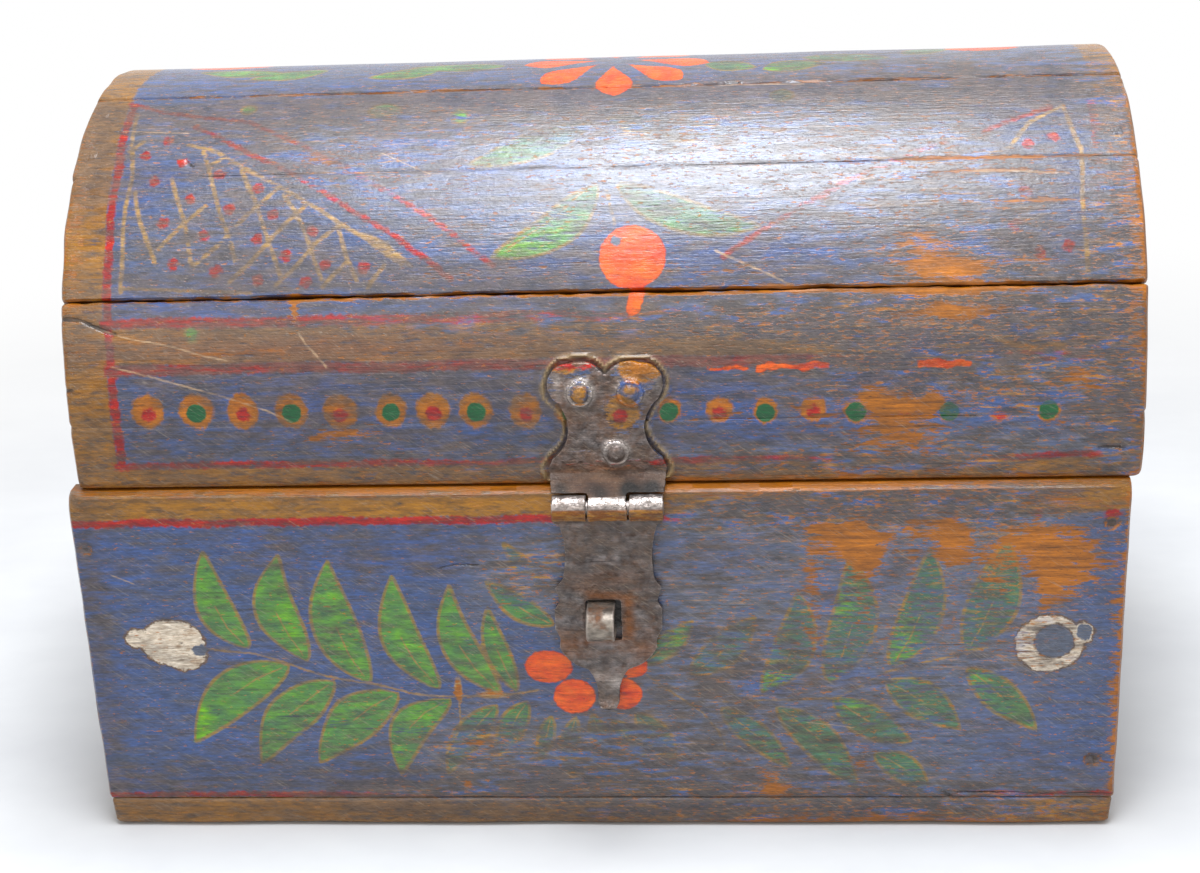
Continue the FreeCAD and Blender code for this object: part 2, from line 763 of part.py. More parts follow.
def plate_rivets():
    """Two rivets in the lobes, square to the arch, and one above the foot."""
    face = lid_radius + size["strap_thickness"]
    bodies = []
    for place, sign in (("left", -1), ("right", 1)):
        rise = plate_foot_z + size["plate_height"] * upper_rivet_rise_share - spring_z
        lean = math.asin(rise.number / face.number)
        y = lid_center_y - face * math.cos(lean)
        x = size["hasp_offset"] + size["plate_width"] * (upper_rivet_across_share * sign)
        angle = quarter_turn - math.degrees(lean)
        bodies.append(rivet(f"{place}_rivet", x, y, spring_z + rise, angle))
    low_x = size["hasp_offset"] + size["plate_width"] * lower_rivet_across_share
    low_y = lid_front_y - size["strap_thickness"]
    low_z = plate_foot_z + size["plate_height"] * lower_rivet_rise_share
    bodies.append(rivet("lower_rivet", low_x, low_y, low_z, quarter_turn))
    return group("hasp_plate_rivets", bodies)


hasp_plate_rivets = plate_rivets()


def hasp_plate():
    """Hinge plate riveted to the lid, lobed at the crown, with the middle knuckle of the barrel."""
    body = new_body("hasp_plate_blank")
    corners, bulges = plate_profile()
    add_strip(body, "plate_strip", corners, bulges, zero, size["plate_width"] * 2)

    def place(across, along):
        return (size["plate_width"] * across, plate_foot_z + size["plate_height"] * along)

    edge, bulge = mirrored(plate_edge_shares, plate_bulge_shares, place, True)
    half_tab = size["plate_knuckle_length"] / 2
    tab = [
        (-half_tab, plate_foot_z),
        (-half_tab, hasp_axis_z),
        (half_tab, hasp_axis_z),
        (half_tab, plate_foot_z),
    ]
    keep_inside(body, "plate_sawn", edge + tab, bulge, size["plate_width"] * 2)
    add_knuckle(body, "plate_knuckle", zero, size["plate_knuckle_length"],
                size["hasp_pin_radius"], hasp_barrel_radius, hasp_axis_y, hasp_axis_z)
    put(body, size["hasp_offset"])
    return bored("hasp_plate", body, [hasp_plate_rivets])


hasp_tip_turn = math.radians(40)


def hasp_profile():
    """Section of the hasp: straight down the front, its tip curled outwards for the finger."""
    inner_y = hasp_axis_y + hasp_barrel_radius
    outer_y = hasp_axis_y + hasp_bore_radius
    inside = size["hasp_tip_radius"]
    outside = inside + size["strap_thickness"]
    drop = outside * math.sin(hasp_tip_turn)
    curl_z = hasp_axis_z - size["hasp_length"] + drop
    curl_y = outer_y - inside

    def on_curl(radius, angle):
        return (curl_y + radius * math.cos(angle), curl_z - radius * math.sin(angle))

    corners = (
        (outer_y, hasp_axis_z),
        (outer_y, curl_z),
        on_curl(inside, hasp_tip_turn),
        on_curl(outside, hasp_tip_turn),
        (inner_y, curl_z),
        (inner_y, hasp_axis_z),
    )
    bulges = {1: on_curl(inside, hasp_tip_turn / 2), 3: on_curl(outside, hasp_tip_turn / 2)}
    return corners, bulges


def hasp_strap():
    """The hasp: two outer knuckles, a waist, a cusped round with the slot, and a curled tip."""
    body = new_body("hasp_strap")
    corners, bulges = hasp_profile()
    add_strip(body, "hasp_strip", corners, bulges, zero, size["barrel_length"] * 2)

    def place(across, along):
        """Each point drifts left with its depth, as the strap hangs a little askew."""
        x = size["barrel_length"] * across - size["hasp_lean"] * along
        return (x, hasp_axis_z - size["hasp_length"] * along)

    edge, bulge = mirrored(hasp_edge_shares, hasp_bulge_shares, place, True)
    half_barrel = size["barrel_length"] / 2
    half_notch = size["plate_knuckle_length"] / 2 + size["knuckle_gap"]
    notch_z = hasp_axis_z - hasp_barrel_radius - size["knuckle_gap"]
    knuckle_tops = [
        (-half_barrel, hasp_axis_z),
        (-half_notch, hasp_axis_z),
        (-half_notch, notch_z),
        (half_notch, notch_z),
        (half_notch, hasp_axis_z),
        (half_barrel, hasp_axis_z),
    ]
    keep_inside(body, "hasp_sawn", edge + knuckle_tops, bulge, size["barrel_length"] * 2)
    knuckle_length = half_barrel - half_notch
    for place_name, sign in (("left", -1), ("right", 1)):
        middle = (half_notch + knuckle_length / 2) * sign
        add_knuckle(body, f"hasp_knuckle_{place_name}", middle, knuckle_length,
                    hasp_bore_radius, hasp_barrel_radius, hasp_axis_y, hasp_axis_z)
    slot = new_sketch(body, "slot_outline", "XZ_Plane")
    slot_x = -size["slot_offset"]
    slot_z = hasp_axis_z - size["slot_drop"]
    opening = rectangle(
        slot_x - size["slot_width"] / 2, slot_x + size["slot_width"] / 2,
        slot_z - size["slot_height"] / 2, slot_z + size["slot_height"] / 2,
    )
    draw_outline(slot, opening, {})
    pocket_through(body, slot, size["box_depth"] * 2, "slot")
    put(body, size["hasp_offset"])
    return body


# The staple sits to the left in the slot and near its top: these shares of the play between
# slot and staple are what it is off the slot's middle.
staple_left_share = 0.3
staple_up_share = 0.25


def hasp_staple():
    """A strap bent to an eye, its two legs driven through the front board and clinched inside."""
    body = new_body("hasp_staple")
    to_left = (size["slot_width"] - size["staple_width"]) * staple_left_share
    to_top = (size["slot_height"] - size["staple_height"]) * staple_up_share
    outer = size["staple_height"] / 2
    inner = outer - size["staple_thickness"]
    nose_y = outer - size["staple_reach"]
    inside_y = size["board_thickness"]
    flat_y = inside_y + size["staple_thickness"]
    clinch = outer + size["staple_clinch"]
    corners = (
        (nose_y, outer),
        (inside_y, outer),
        (inside_y, clinch),
        (flat_y, clinch),
        (flat_y, inner),
        (nose_y, inner),
        (nose_y, -inner),
        (flat_y, -inner),
        (flat_y, -clinch),
        (inside_y, -clinch),
        (inside_y, -outer),
        (nose_y, -outer),
    )
    bulges = {5: (nose_y - inner, zero), 11: (nose_y - outer, zero)}
    add_strip(body, "staple_strap", corners, bulges, zero, size["staple_width"])
    staple_x = size["hasp_offset"] - size["slot_offset"] - to_left
    put(body, staple_x, front_y, hasp_axis_z - size["slot_drop"] + to_top)
    return body


staple = hasp_staple()
plate = hasp_plate()
hasp = hasp_strap()
hasp_pin = pin("hasp_pin", size["hasp_offset"], size["barrel_length"],
               size["hasp_pin_radius"], hasp_axis_y, hasp_axis_z)
nodes += [staple, plate, hasp_plate_rivets, hasp, hasp_pin]


# Base boards. The front and back lap over the ends; the bottom is nailed on from below.

def board_blank(name, width, depth, height):
    """A squared board, centred over its own origin, standing on it."""
    body = new_body(f"{name}_blank")
    sketch = new_sketch(body, f"{name}_plan", "XY_Plane")
    draw_outline(sketch, rectangle(-width / 2, width / 2, -depth / 2, depth / 2), {})
    return body, pad(body, sketch, height, f"{name}_board", symmetric=False)


def bottom_board():
    """One board under all four walls, worn round along its lower edges."""
    width = size["box_width"]
    depth = size["box_depth"]
    body, board = board_blank("bottom_board", width, depth, size["bottom_thickness"])

    def worn(edge):
        return lies_at(edge, 2, zero)

    round_edges(body, board, worn, size["bottom_edge_radius"], "bottom_worn")
    put(body)
    return bored("bottom_board", body, [bottom_nails])


def long_wall(name, sign, irons):
    """Front or back board. Its outer face is the one away from the middle of the box."""
    body, board = board_blank(name, size["box_width"], size["board_thickness"], wall_height)
    outer = size["board_thickness"] / 2 * sign
    ends = size["box_width"] / 2

    def worn(edge):
        on_face = lies_at(edge, 1, outer)
        at_end = lies_at(edge, 0, ends) or lies_at(edge, 0, -ends)
        return on_face and (at_end or lies_at(edge, 2, wall_height))

    round_edges(body, board, worn, size["edge_radius"], f"{name}_worn")
    put(body, zero, (back_y - size["board_thickness"] / 2) * sign, size["bottom_thickness"])
    return bored(name, body, irons)


def end_wall(name, sign):
    """End board between the front and back boards."""
    body, board = board_blank(name, size["board_thickness"], inner_depth, wall_height)
    outer = size["board_thickness"] / 2 * sign

    def worn(edge):
        return lies_at(edge, 0, outer) and lies_at(edge, 2, wall_height)

    round_edges(body, board, worn, size["edge_radius"], f"{name}_worn")
    put(body, end_board_x * sign, zero, size["bottom_thickness"])
    return bored(name, body, [front_nails, back_nails, bottom_nails])


nodes.append(bottom_board())
nodes.append(long_wall("front_board", -1, [front_nails, bottom_nails, staple]))
nodes.append(long_wall("back_board", 1, [back_nails, bottom_nails, base_leaf_nails]))
nodes.append(end_wall("left_end_board", -1))
nodes.append(end_wall("right_end_board", 1))


# Lid boards: a rail at the front and back, and coopered staves between them, rounded outside
# and left flat inside, nailed over two arched end boards.

def rail(name, facing, irons):
    """Upright low board of the lid, up to the spring line of the arch."""
    body = new_body(f"{name}_blank")
    corners = rectangle(-lid_radius, -lid_inner_radius, -size["spring_height"], zero)
    add_strip(body, f"{name}_strip", corners, {}, zero, lid_width)
    put(body, size["lid_shift"], lid_center_y, spring_z, Vector(0, 0, 1), facing)
    return bored(name, body, irons)


def stave(name, low_share, high_share, irons):
    """One stave, drawn upright over the arch centre and turned down to its place."""
    body = new_body(f"{name}_blank")
    half = math.pi * (high_share - low_share) / 2
    corners = (
        (lid_radius * math.sin(half), lid_radius * math.cos(half)),
        (-lid_radius * math.sin(half), lid_radius * math.cos(half)),
        (-lid_inner_radius * math.sin(half), lid_inner_radius * math.cos(half)),
        (lid_inner_radius * math.sin(half), lid_inner_radius * math.cos(half)),
    )
    add_strip(body, f"{name}_strip", corners, {0: (zero, lid_radius)}, zero, lid_width)
    middle = quarter_turn * (low_share + high_share)
    put(body, size["lid_shift"], lid_center_y, spring_z, along_x, quarter_turn - middle)
    return bored(name, body, irons)


def lid_end(name, sign):
    """Arched end board: its top edge is planed to the flat insides of the staves."""
    body = new_body(f"{name}_blank")
    foot = -size["spring_height"]
    corners = [(-lid_inner_radius, foot)]
    for share in joint_shares:
        turn = math.pi * share
        corners.append((-lid_inner_radius * math.cos(turn), lid_inner_radius * math.sin(turn)))
    corners.append((lid_inner_radius, foot))
    add_strip(body, f"{name}_board", corners, {}, zero, size["lid_end_thickness"])
    put(body, size["lid_shift"] + lid_end_x * sign, lid_center_y, spring_z)
    return bored(name, body, [lid_nails])


stave_names = (
    "front_lower_stave", "front_middle_stave", "front_upper_stave", "crown_stave",
    "back_upper_stave", "back_middle_stave", "back_lower_stave",
)
nodes.append(lid_end("lid_left_end", -1))
nodes.append(lid_end("lid_right_end", 1))
nodes.append(rail("lid_front_rail", 0, [lid_nails, hasp_plate_rivets]))
nodes.append(rail("lid_back_rail", half_turn, [lid_nails, lid_leaf_nails]))
stave_irons = {
    "front_lower_stave": [lid_nails, hasp_plate_rivets],
    "back_lower_stave": [lid_nails, lid_leaf_nails],
}
for stave_name, low, high in zip(stave_names, joint_shares, joint_shares[1:]):
    nodes.append(stave(stave_name, low, high, stave_irons.get(stave_name, [lid_nails])))

doc.recompute()

# Every object has to have worked, and every node has to be sound, before anything is written.
for item in doc.Objects:
    if "Invalid" in item.State or "Error" in item.State:
        raise RuntimeError(f"{item.Label} failed: {item.State}")
for node in nodes:
    if node.Shape.isNull() or not node.Shape.isValid():
        raise RuntimeError(f"{node.Label} has no sound shape")

os.makedirs("parts", exist_ok=True)
for node in nodes:
    node.Shape.exportStep(f"parts/{node.Label}.step")
    print(f"{node.Label}: {len(node.Shape.Solids)} solids, {node.Shape.Volume:.0f} mm3")
print(f"hinge axis y {hinge_axis_y.number:.3f} z {hinge_axis_z.number:.3f}")
print(f"hasp axis y {hasp_axis_y.number:.3f} z {hasp_axis_z.number:.3f}")
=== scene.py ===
# %% [markdown]
# # A painted wooden chest with a domed lid
# The real thing is a small box of thin boards. Its lid is coopered: narrow staves
# are nailed on to two arched end boards, as on a barrel. A forged iron hasp closes
# over a staple. Oil paint covers the outside, and two lifetimes of hands have worn
# it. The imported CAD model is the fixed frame, and each visible board is built again
# here with a fine skin, so that dents, worn rims and brush edges have something to
# live on.

# %% Load the fixed frame
import math

import bpy
import numpy as np
from mathutils import Matrix, Vector
from mathutils.bvhtree import BVHTree


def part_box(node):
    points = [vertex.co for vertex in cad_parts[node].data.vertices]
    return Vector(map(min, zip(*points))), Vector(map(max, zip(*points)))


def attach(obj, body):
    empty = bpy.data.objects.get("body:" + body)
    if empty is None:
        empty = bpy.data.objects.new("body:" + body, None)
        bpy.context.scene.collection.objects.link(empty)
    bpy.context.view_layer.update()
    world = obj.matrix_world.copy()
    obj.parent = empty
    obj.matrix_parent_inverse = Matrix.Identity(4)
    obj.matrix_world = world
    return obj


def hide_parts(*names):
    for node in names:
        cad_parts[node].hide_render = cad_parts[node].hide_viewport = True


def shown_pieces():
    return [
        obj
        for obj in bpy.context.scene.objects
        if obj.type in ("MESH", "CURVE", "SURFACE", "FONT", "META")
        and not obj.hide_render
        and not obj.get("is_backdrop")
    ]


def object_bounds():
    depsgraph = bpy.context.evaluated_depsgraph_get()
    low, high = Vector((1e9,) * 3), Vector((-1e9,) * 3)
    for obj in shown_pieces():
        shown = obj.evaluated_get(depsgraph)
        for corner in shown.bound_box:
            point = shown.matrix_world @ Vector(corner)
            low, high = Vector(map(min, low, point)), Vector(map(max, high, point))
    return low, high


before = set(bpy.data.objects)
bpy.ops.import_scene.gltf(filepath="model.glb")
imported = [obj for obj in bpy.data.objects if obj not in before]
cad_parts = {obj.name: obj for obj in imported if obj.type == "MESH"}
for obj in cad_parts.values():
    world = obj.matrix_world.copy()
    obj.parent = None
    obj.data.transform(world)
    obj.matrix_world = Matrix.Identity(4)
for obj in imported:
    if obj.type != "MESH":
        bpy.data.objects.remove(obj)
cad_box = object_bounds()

MM = 0.001

# %% [markdown]
# ## Camera
# The photograph was taken from a little above the lid with a longish lens. The
# camera's place, its two tilts and the lens come from lines on the box whose real
# length is known. A longer lens further back would make the dome look flatter.

# %% Camera
look_down, look_aside, lean = 0.3679, -0.0761, -0.0413
cos_down = math.cos(look_down)
ahead = Vector((math.sin(look_aside) * cos_down, math.cos(look_aside) * cos_down, -math.sin(look_down)))
level = Vector((math.cos(look_aside), -math.sin(look_aside), 0.0))
upright = level.cross(ahead)
across = math.cos(lean) * level + math.sin(lean) * upright
upward = -math.sin(lean) * level + math.cos(lean) * upright
camera_data = bpy.data.cameras.new("studio_camera")
camera_data.lens, camera_data.sensor_width = 60.0, 36.0
camera_data.clip_start, camera_data.clip_end = 0.05, 50.0
camera = bpy.data.objects.new("studio_camera", camera_data)
camera.location = (0.042949, -0.60194, 0.324337)
camera.rotation_euler = Matrix((across, upward, -ahead)).transposed().to_euler()
bpy.context.scene.collection.objects.link(camera)
bpy.context.scene.camera = camera
bpy.context.scene.view_settings.view_transform = "Standard"
print("camera", tuple(round(x, 3) for x in camera.location))

# %% [markdown]
# ## Small tools for materials
# A colour is written as it looks on screen and turned to the linear numbers that a
# shader adds and multiplies. A node is added by one function, which also sets its
# numbers and links it, so a material reads as a list of steps. The others are
# recipes: a mottled pattern, a sum of patterns, and a stack of coats.

# %% Colour and node helpers
def linear(code):
    """A hex colour as linear RGBA."""
    parts = [int(code[i:i + 2], 16) / 255 for i in (1, 3, 5)]
    return (*[p / 12.92 if p <= 0.04045 else ((p + 0.055) / 1.055) ** 2.4 for p in parts], 1.0)


def wire(tree, kind, *values, out=0, **settings):
    """Adds one node and gives one of its outputs. The values fill its sockets in order: a link, a number
    or a hex colour each. One dict instead of them names the sockets. A kind in capitals is an operation of
    the Math node."""
    if kind.isupper():
        kind, settings["operation"] = "Math", kind
    made = tree.nodes.new("ShaderNode" + kind)
    for name, value in settings.items():
        setattr(made, name, value)
    pairs = zip([socket for socket in made.inputs if socket.enabled], values)
    if values and isinstance(values[0], dict):
        pairs = [(made.inputs[name], value) for name, value in values[0].items()]
    for socket, value in pairs:
        if isinstance(value, bpy.types.NodeSocket):
            tree.links.new(value, socket)
        else:
            socket.default_value = linear(value) if isinstance(value, str) else value
    if out is None:
        return made
    return made.outputs[out] if isinstance(out, str) else [o for o in made.outputs if o.enabled][out]


def mottling(tree, place, size, shift, detail=4.0, spread=0.18, turn=0.0):
    """Patches of a real size in mm along x, y and z, evened out from 0 to 1, turned in the front's plane."""
    scaled = wire(tree, "Mapping", place, (shift, 1.7 * shift, 0.6 * shift), (0, turn, 0),
                  [s * MM for s in size], vector_type="TEXTURE")
    cloud = wire(tree, "TexNoise", scaled, 1.0, detail, 0.6)
    return wire(tree, "MapRange", cloud, 0.5 - spread, 0.5 + spread)


def summed(tree, total, *terms):
    """A total plus each pattern times its share."""
    for pattern, share in terms:
        total = wire(tree, "MULTIPLY_ADD", pattern, share, total)
    return total


def layered(tree, colour, *coats_above):
    """Coats laid over a colour. Each is (share, colour), or two shares that multiply and then a colour."""
    for *shares, coat in coats_above:
        share = wire(tree, "MULTIPLY", *shares) if len(shares) == 2 else shares[0]
        colour = wire(tree, "Mix", share, colour, coat, data_type="RGBA")
    return colour


def coat_over(tree, below, colour, field, holds, soft=0.3):
    """A coat of colour where field, in mm inside its brush line, is positive and the paint still holds."""
    laid = wire(tree, "MapRange", field, -soft, soft, interpolation_type="SMOOTHSTEP")
    return layered(tree, below, (laid, holds, colour))


def new_material(name):
    """An empty material with its node tree, and the place in space that its patterns hang on."""
    material = bpy.data.materials.new(name)
    material.use_nodes = True
    material.node_tree.nodes.clear()
    return material, material.node_tree, wire(material.node_tree, "TexCoord", out="Object")


print("blue ground in linear numbers", [round(x, 3) for x in linear("#4F5D88")])

# %% [markdown]
# ## Floor and light
# The box stands on a pale table top under a big soft window of light from above and a
# wide front fill. The floor takes the soft shadow near the box. Further out, where
# only the camera, a reflection or glass would look, it fades to white, so no horizon
# shows and no extra light falls on the wood.

# %% Floor
def looked_at(tree):
    """1 for a ray of the camera, a reflection or glass, and 0 for light on its way to the wood."""
    rays = wire(tree, "LightPath", out=None).outputs
    seen = wire(tree, "ADD", rays["Is Camera Ray"], rays["Is Glossy Ray"])
    return wire(tree, "ADD", seen, rays["Is Transmission Ray"], use_clamp=True)


bpy.ops.object.select_all(action="DESELECT")
bpy.ops.mesh.primitive_plane_add(size=12.0, location=(0, 0, -0.0003))
floor = bpy.context.object
floor.name = "floor"
floor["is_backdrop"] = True

table_top, tree, place = new_material("pale_table_top")
top_colour = layered(tree, "#C3C3C3", (mottling(tree, place, (90, 60, 60), 0.3), "#CDCDCC"))
table_paint = wire(tree, "BsdfPrincipled", {"Base Color": top_colour, "Roughness": 0.6})
paper_white = wire(tree, "Emission", (1, 1, 1, 1), 1.0)
away = wire(tree, "VectorMath", place, operation="LENGTH")
far = wire(tree, "MapRange", away, 0.17, 0.62, interpolation_type="SMOOTHSTEP")
fade_out = wire(tree, "MULTIPLY", far, looked_at(tree))
wire(tree, "OutputMaterial", wire(tree, "MixShader", fade_out, table_paint, paper_white), out=None)
floor.data.materials.append(table_top)
print("floor", [round(x, 2) for x in floor.dimensions])

# %% World and lamps
world = bpy.data.worlds.new("studio_world")
bpy.context.scene.world = world
world.use_nodes = True
tree = world.node_tree
tree.nodes.clear()
white_level = wire(tree, "MapRange", looked_at(tree), 0, 1, 0.45, 1.0)
wire(tree, "OutputWorld", wire(tree, "Background", (1, 1, 1, 1), white_level), out=None)


def soft_lamp(name, place, aim, wide, tall, watts, tint="#FFFFFF"):
    """A rectangle of soft light that faces a point."""
    lamp = bpy.data.lights.new(name, "AREA")
    lamp.shape, lamp.size, lamp.size_y = "RECTANGLE", wide, tall
    lamp.energy, lamp.color = watts, linear(tint)[:3]
    held = bpy.data.objects.new(name, lamp)
    held.location = place
    held.rotation_euler = (Vector(aim) - Vector(place)).to_track_quat("-Z", "Y").to_euler()
    bpy.context.scene.collection.objects.link(held)


soft_lamp("window_above", (0.03, -0.16, 1.0), (0.03, -0.16, 0.0), wide=0.34, tall=0.72, watts=17.2,
          tint="#F2F7FF")
soft_lamp("front_fill", (-0.4, -1.4, 0.8), (0.0, 0.0, 0.1), wide=1.4, tall=1.0, watts=8.0)

# %% [markdown]
# ## Unevenness that always comes out the same
# Hand work is never straight. A few sine waves in seeded directions give a smooth
# unevenness, in millimetres, that bends boards, brush lines and iron alike.

# %% Unevenness
def ripple(a, b, size, seed):
    """Smooth unevenness from about -1 to 1, with lumps of about size mm."""
    draw = np.random.default_rng(seed)
    total = np.zeros(np.shape(a))
    for _ in range(10):
        turn = draw.uniform(0, 2 * np.pi)
        wave = 2 * np.pi / (size * draw.uniform(1.3, 3.2))
        start = draw.uniform(0, 2 * np.pi)
        total = total + np.sin((a * np.cos(turn) + b * np.sin(turn)) * wave + start)
    return total / 4.5


print("ripple at three places", np.round(ripple(np.array([0.0, 10.0, 20.0]), np.zeros(3), 8, 1), 2))

# %% [markdown]
# ## Brush shapes
# Each painted shape is a distance in millimetres: positive inside its outline, zero on
# it, negative outside. Distances are stored on the skin's points, and the material
# cuts them at zero. So a line stays sharp however near the camera comes, which a
# picture of limited size wouldn't.

# %% Brush shapes
NOWHERE = -50.0  # a distance in mm at which nothing is painted
NO_LINE = -5.0  # a reach in mm at which no thin line is drawn


def bar(u, v, left, right, low, high):
    """A straight band."""
    return np.minimum(np.minimum(u - left, right - u), np.minimum(v - low, high - v))


def blob(u, v, x, y, half_wide, half_tall):
    """A round or oval dab."""
    return (1 - np.hypot((u - x) / half_wide, (v - y) / half_tall)) * min(half_wide, half_tall)


def stroke(u, v, points, half):
    """A line drawn with a thin brush through some points."""
    near = np.full(np.shape(u), 1e6)
    for (a, b), (c, d) in zip(points, points[1:]):
        share = np.clip(((u - a) * (c - a) + (v - b) * (d - b)) / ((c - a) ** 2 + (d - b) ** 2), 0, 1)
        near = np.minimum(near, np.hypot(u - a - share * (c - a), v - b - share * (d - b)))
    return half - near


def leaf(u, v, foot, tip, half, bow=0.0, belly=0.85):
    """A pointed leaf from foot to tip. A bow above 0 bends it to the left of its way, and a belly above 1
    moves its widest place to the tip."""
    length = math.hypot(tip[0] - foot[0], tip[1] - foot[1])
    along = ((tip[0] - foot[0]) / length, (tip[1] - foot[1]) / length)
    share = ((u - foot[0]) * along[0] + (v - foot[1]) * along[1]) / length
    inside = np.clip(share, 0, 1)
    aside = (v - foot[1]) * along[0] - (u - foot[0]) * along[1] - bow * 4 * inside * (1 - inside)
    width = half * np.sin(np.pi * inside ** belly) ** 0.8
    beyond = np.maximum(np.maximum(-share, share - 1), 0) * length
    return np.where(beyond > 0, -np.hypot(beyond, aside), (width - np.abs(aside)) * 0.85)


def most(u, v, *given, bars=(), dabs=(), leaves=(), strokes=()):
    """All the shapes of one colour together: distances that are given, and rows of numbers for the others."""
    total = np.full(np.shape(u), NOWHERE)
    for shape in given:
        total = np.maximum(total, shape)
    for draw, rows in ((bar, bars), (blob, dabs), (leaf, leaves), (stroke, strokes)):
        for row in rows:
            total = np.maximum(total, draw(u, v, *row))
    return np.clip(total, NOWHERE, -NOWHERE)


def threads(u, v, lines):
    """Lines (points, half width) too thin for the skin's points. Gives how far across the nearest one a place
    lies, signed and in half widths, and how far inside its ends in mm. The material draws it where across is
    near 0."""
    nearest, across, reach = (np.full(np.shape(u), start) for start in (1e6, 50.0, NO_LINE))
    for way, half in lines:
        last = len(way) - 2
        for k, ((a, b), (c, d)) in enumerate(zip(way, way[1:])):
            length = math.hypot(c - a, d - b)
            along = ((u - a) * (c - a) + (v - b) * (d - b)) / length
            side = ((v - b) * (c - a) - (u - a) * (d - b)) / length
            gap = np.hypot(side, np.maximum(np.maximum(-along, along - length), 0))
            ends = np.minimum(along if k == 0 else 9.0, length - along if k == last else 9.0)
            closer = gap < nearest
            nearest = np.where(closer, gap, nearest)
            across = np.where(closer, np.clip(side / half, -20, 20), across)
            reach = np.where(closer, np.clip(np.minimum(ends, 1.7 - np.abs(side)), NO_LINE, -NO_LINE), reach)
    return across, reach


def hump(away, wide):
    """A soft hump: 1 at 0, and faded out at about twice its width."""
    return np.exp(-(away / wide) ** 2)


def patches(u, v, spots):
    """Soft patches (x, y, half width, half height, strength) that add up."""
    total = np.zeros(np.shape(u))
    for x, y, wide, tall, strength in spots:
        total = total + strength * np.exp(-((u - x) / wide) ** 2 - ((v - y) / tall) ** 2)
    return total


origin = np.array([0.0])
print("a 6 mm dab is", round(float(blob(origin, origin, 0, 0, 6, 6)[0]), 1), "mm deep at its middle")

# %% [markdown]
# ## What is stored on each board
# Every board carries the same list of numbers on its points: how far inside each
# coat's brush line a point lies, how worn, faded and dirty it is, how near a rim, and
# the thin lines beside it. They are stored three to an attribute.

# %% List of coats
# The fresh part of the edge coat marks fresher paint on wood; on iron it marks rubbed places that are painted
# lighter, partly as a highlight.
COATS = (
    ("trim", ("ochre", "red", "line")), ("bloom", ("leaf", "orange", "pod")),
    ("marks", ("dot", "hollow", "ridge")), ("age", ("wear", "fade", "grime")),
    ("edge", ("rim", "coat", "fresh")), ("scores", ("scratch", "scratch_reach", "crack")),
    ("veins", ("vein", "vein_reach", "crack_reach")))
DISTANCES = ("ochre", "red", "line", "leaf", "orange", "pod", "dot", "hollow")


def coats(u, v, lines, age, **given):
    """Every number for a pattern, with nothing painted where none is given."""
    fields = {name: np.full(np.shape(u), NOWHERE) for name in DISTANCES}
    fields.update(ridge=np.zeros(np.shape(u)), fresh=np.zeros(np.shape(u)))
    for kind in ("scratch", "crack", "vein"):
        fields[kind], fields[kind + "_reach"] = threads(u, v, lines.get(kind, []))
    fields.update({name: patches(u, v, spots) + even for name, (even, spots) in age.items()}, **given)
    return fields


def lay_coats(board, fields):
    """Stores a board's numbers on its points."""
    count = len(board.data.vertices)
    for name, parts in COATS:
        values = np.stack([np.broadcast_to(np.asarray(fields[p], float), (count,)) for p in parts], axis=1)
        stored = board.data.attributes.new(name, "FLOAT_VECTOR", "POINT")
        stored.data.foreach_set("vector", values.astype(np.float32).ravel())


def midrib(foot, tip, _, bow):
    """A thin line up the middle of a leaf's lower part."""
    dx, dy = tip[0] - foot[0], tip[1] - foot[1]
    length = math.hypot(dx, dy)
    way = []
    for t in (0.04, 0.25, 0.5):
        aside = bow * 4 * t * (1 - t) / length
        way.append((foot[0] + dx * t - dy * aside, foot[1] + dy * t + dx * aside))
    return way, 0.22


print("attributes", [name for name, _ in COATS])

# %% [markdown]
# ## The painter's pattern on the front of the box
# A spray of leaves grows to each side from three orange berries, with a pale pod at
# each end. An ochre band with a red line runs along the top and the foot. All places
# are in millimetres on the board, x from its middle and z up from the table. The left
# spray is fresh, and the right one has nearly gone. A leaf is its foot, its tip, half
# its width and its bow. A thin line is its points and half its width.

# %% Pattern on the front board
LEAVES = [
    ((-102, 60), (-112, 91), 5.4, 4.1), ((-85, 56), (-91, 90), 6.3, 4.6),
    ((-67, 49), (-76, 88), 6.6, 4.6), ((-47, 47), (-58, 83), 5.6, 4.6), ((-29, 45), (-42, 80), 4.9, 4.6),
    ((-24, 46), (-31, 73), 3.6, 1.5), ((-12, 67), (-31, 81), 3.5, 1.3), ((-16, 79), (-25, 93), 2.5, -0.3),
    ((-91, 54), (-121, 29), 7.0, -4.2), ((-77, 49), (-102, 22), 6.3, -3.3),
    ((-59, 45), (-84, 22), 7.0, -3.1), ((-44, 43), (-60, 18), 5.8, -5.0),
    ((-30, 41), (-46, 18), 4.4, -1.4), ((-21, 42), (-30, 24), 4.0, -0.7),
    ((-14, 37), (-18, 22), 2.4, 0.1), ((-7, 37), (-9, 16), 2.7, -1.0), ((-2, 38), (2, 22), 2.6, 0.2),
    ((4, 36), (13, 21), 3.2, 0.2), ((11, 38), (22, 22), 3.9, 0.5), ((14, 54), (28, 68), 3.6, -0.4),
    ((27, 51), (46, 69), 4.9, -1.1), ((48, 45), (58, 77), 5.8, -4.3), ((67, 48), (73, 87), 6.8, -3.8),
    ((85, 53), (95, 90), 6.1, -3.4), ((106, 58), (116, 92), 7.0, -2.7), ((36, 40), (56, 20), 4.0, 0.1),
    ((52, 40), (75, 12), 5.3, 2.3), ((68, 43), (91, 28), 5.1, -0.8), ((83, 48), (105, 33), 5.8, 1.0),
    ((106, 52), (126, 32), 4.9, 1.1), ((81, 24), (96, 12), 4.3, 1.3)]
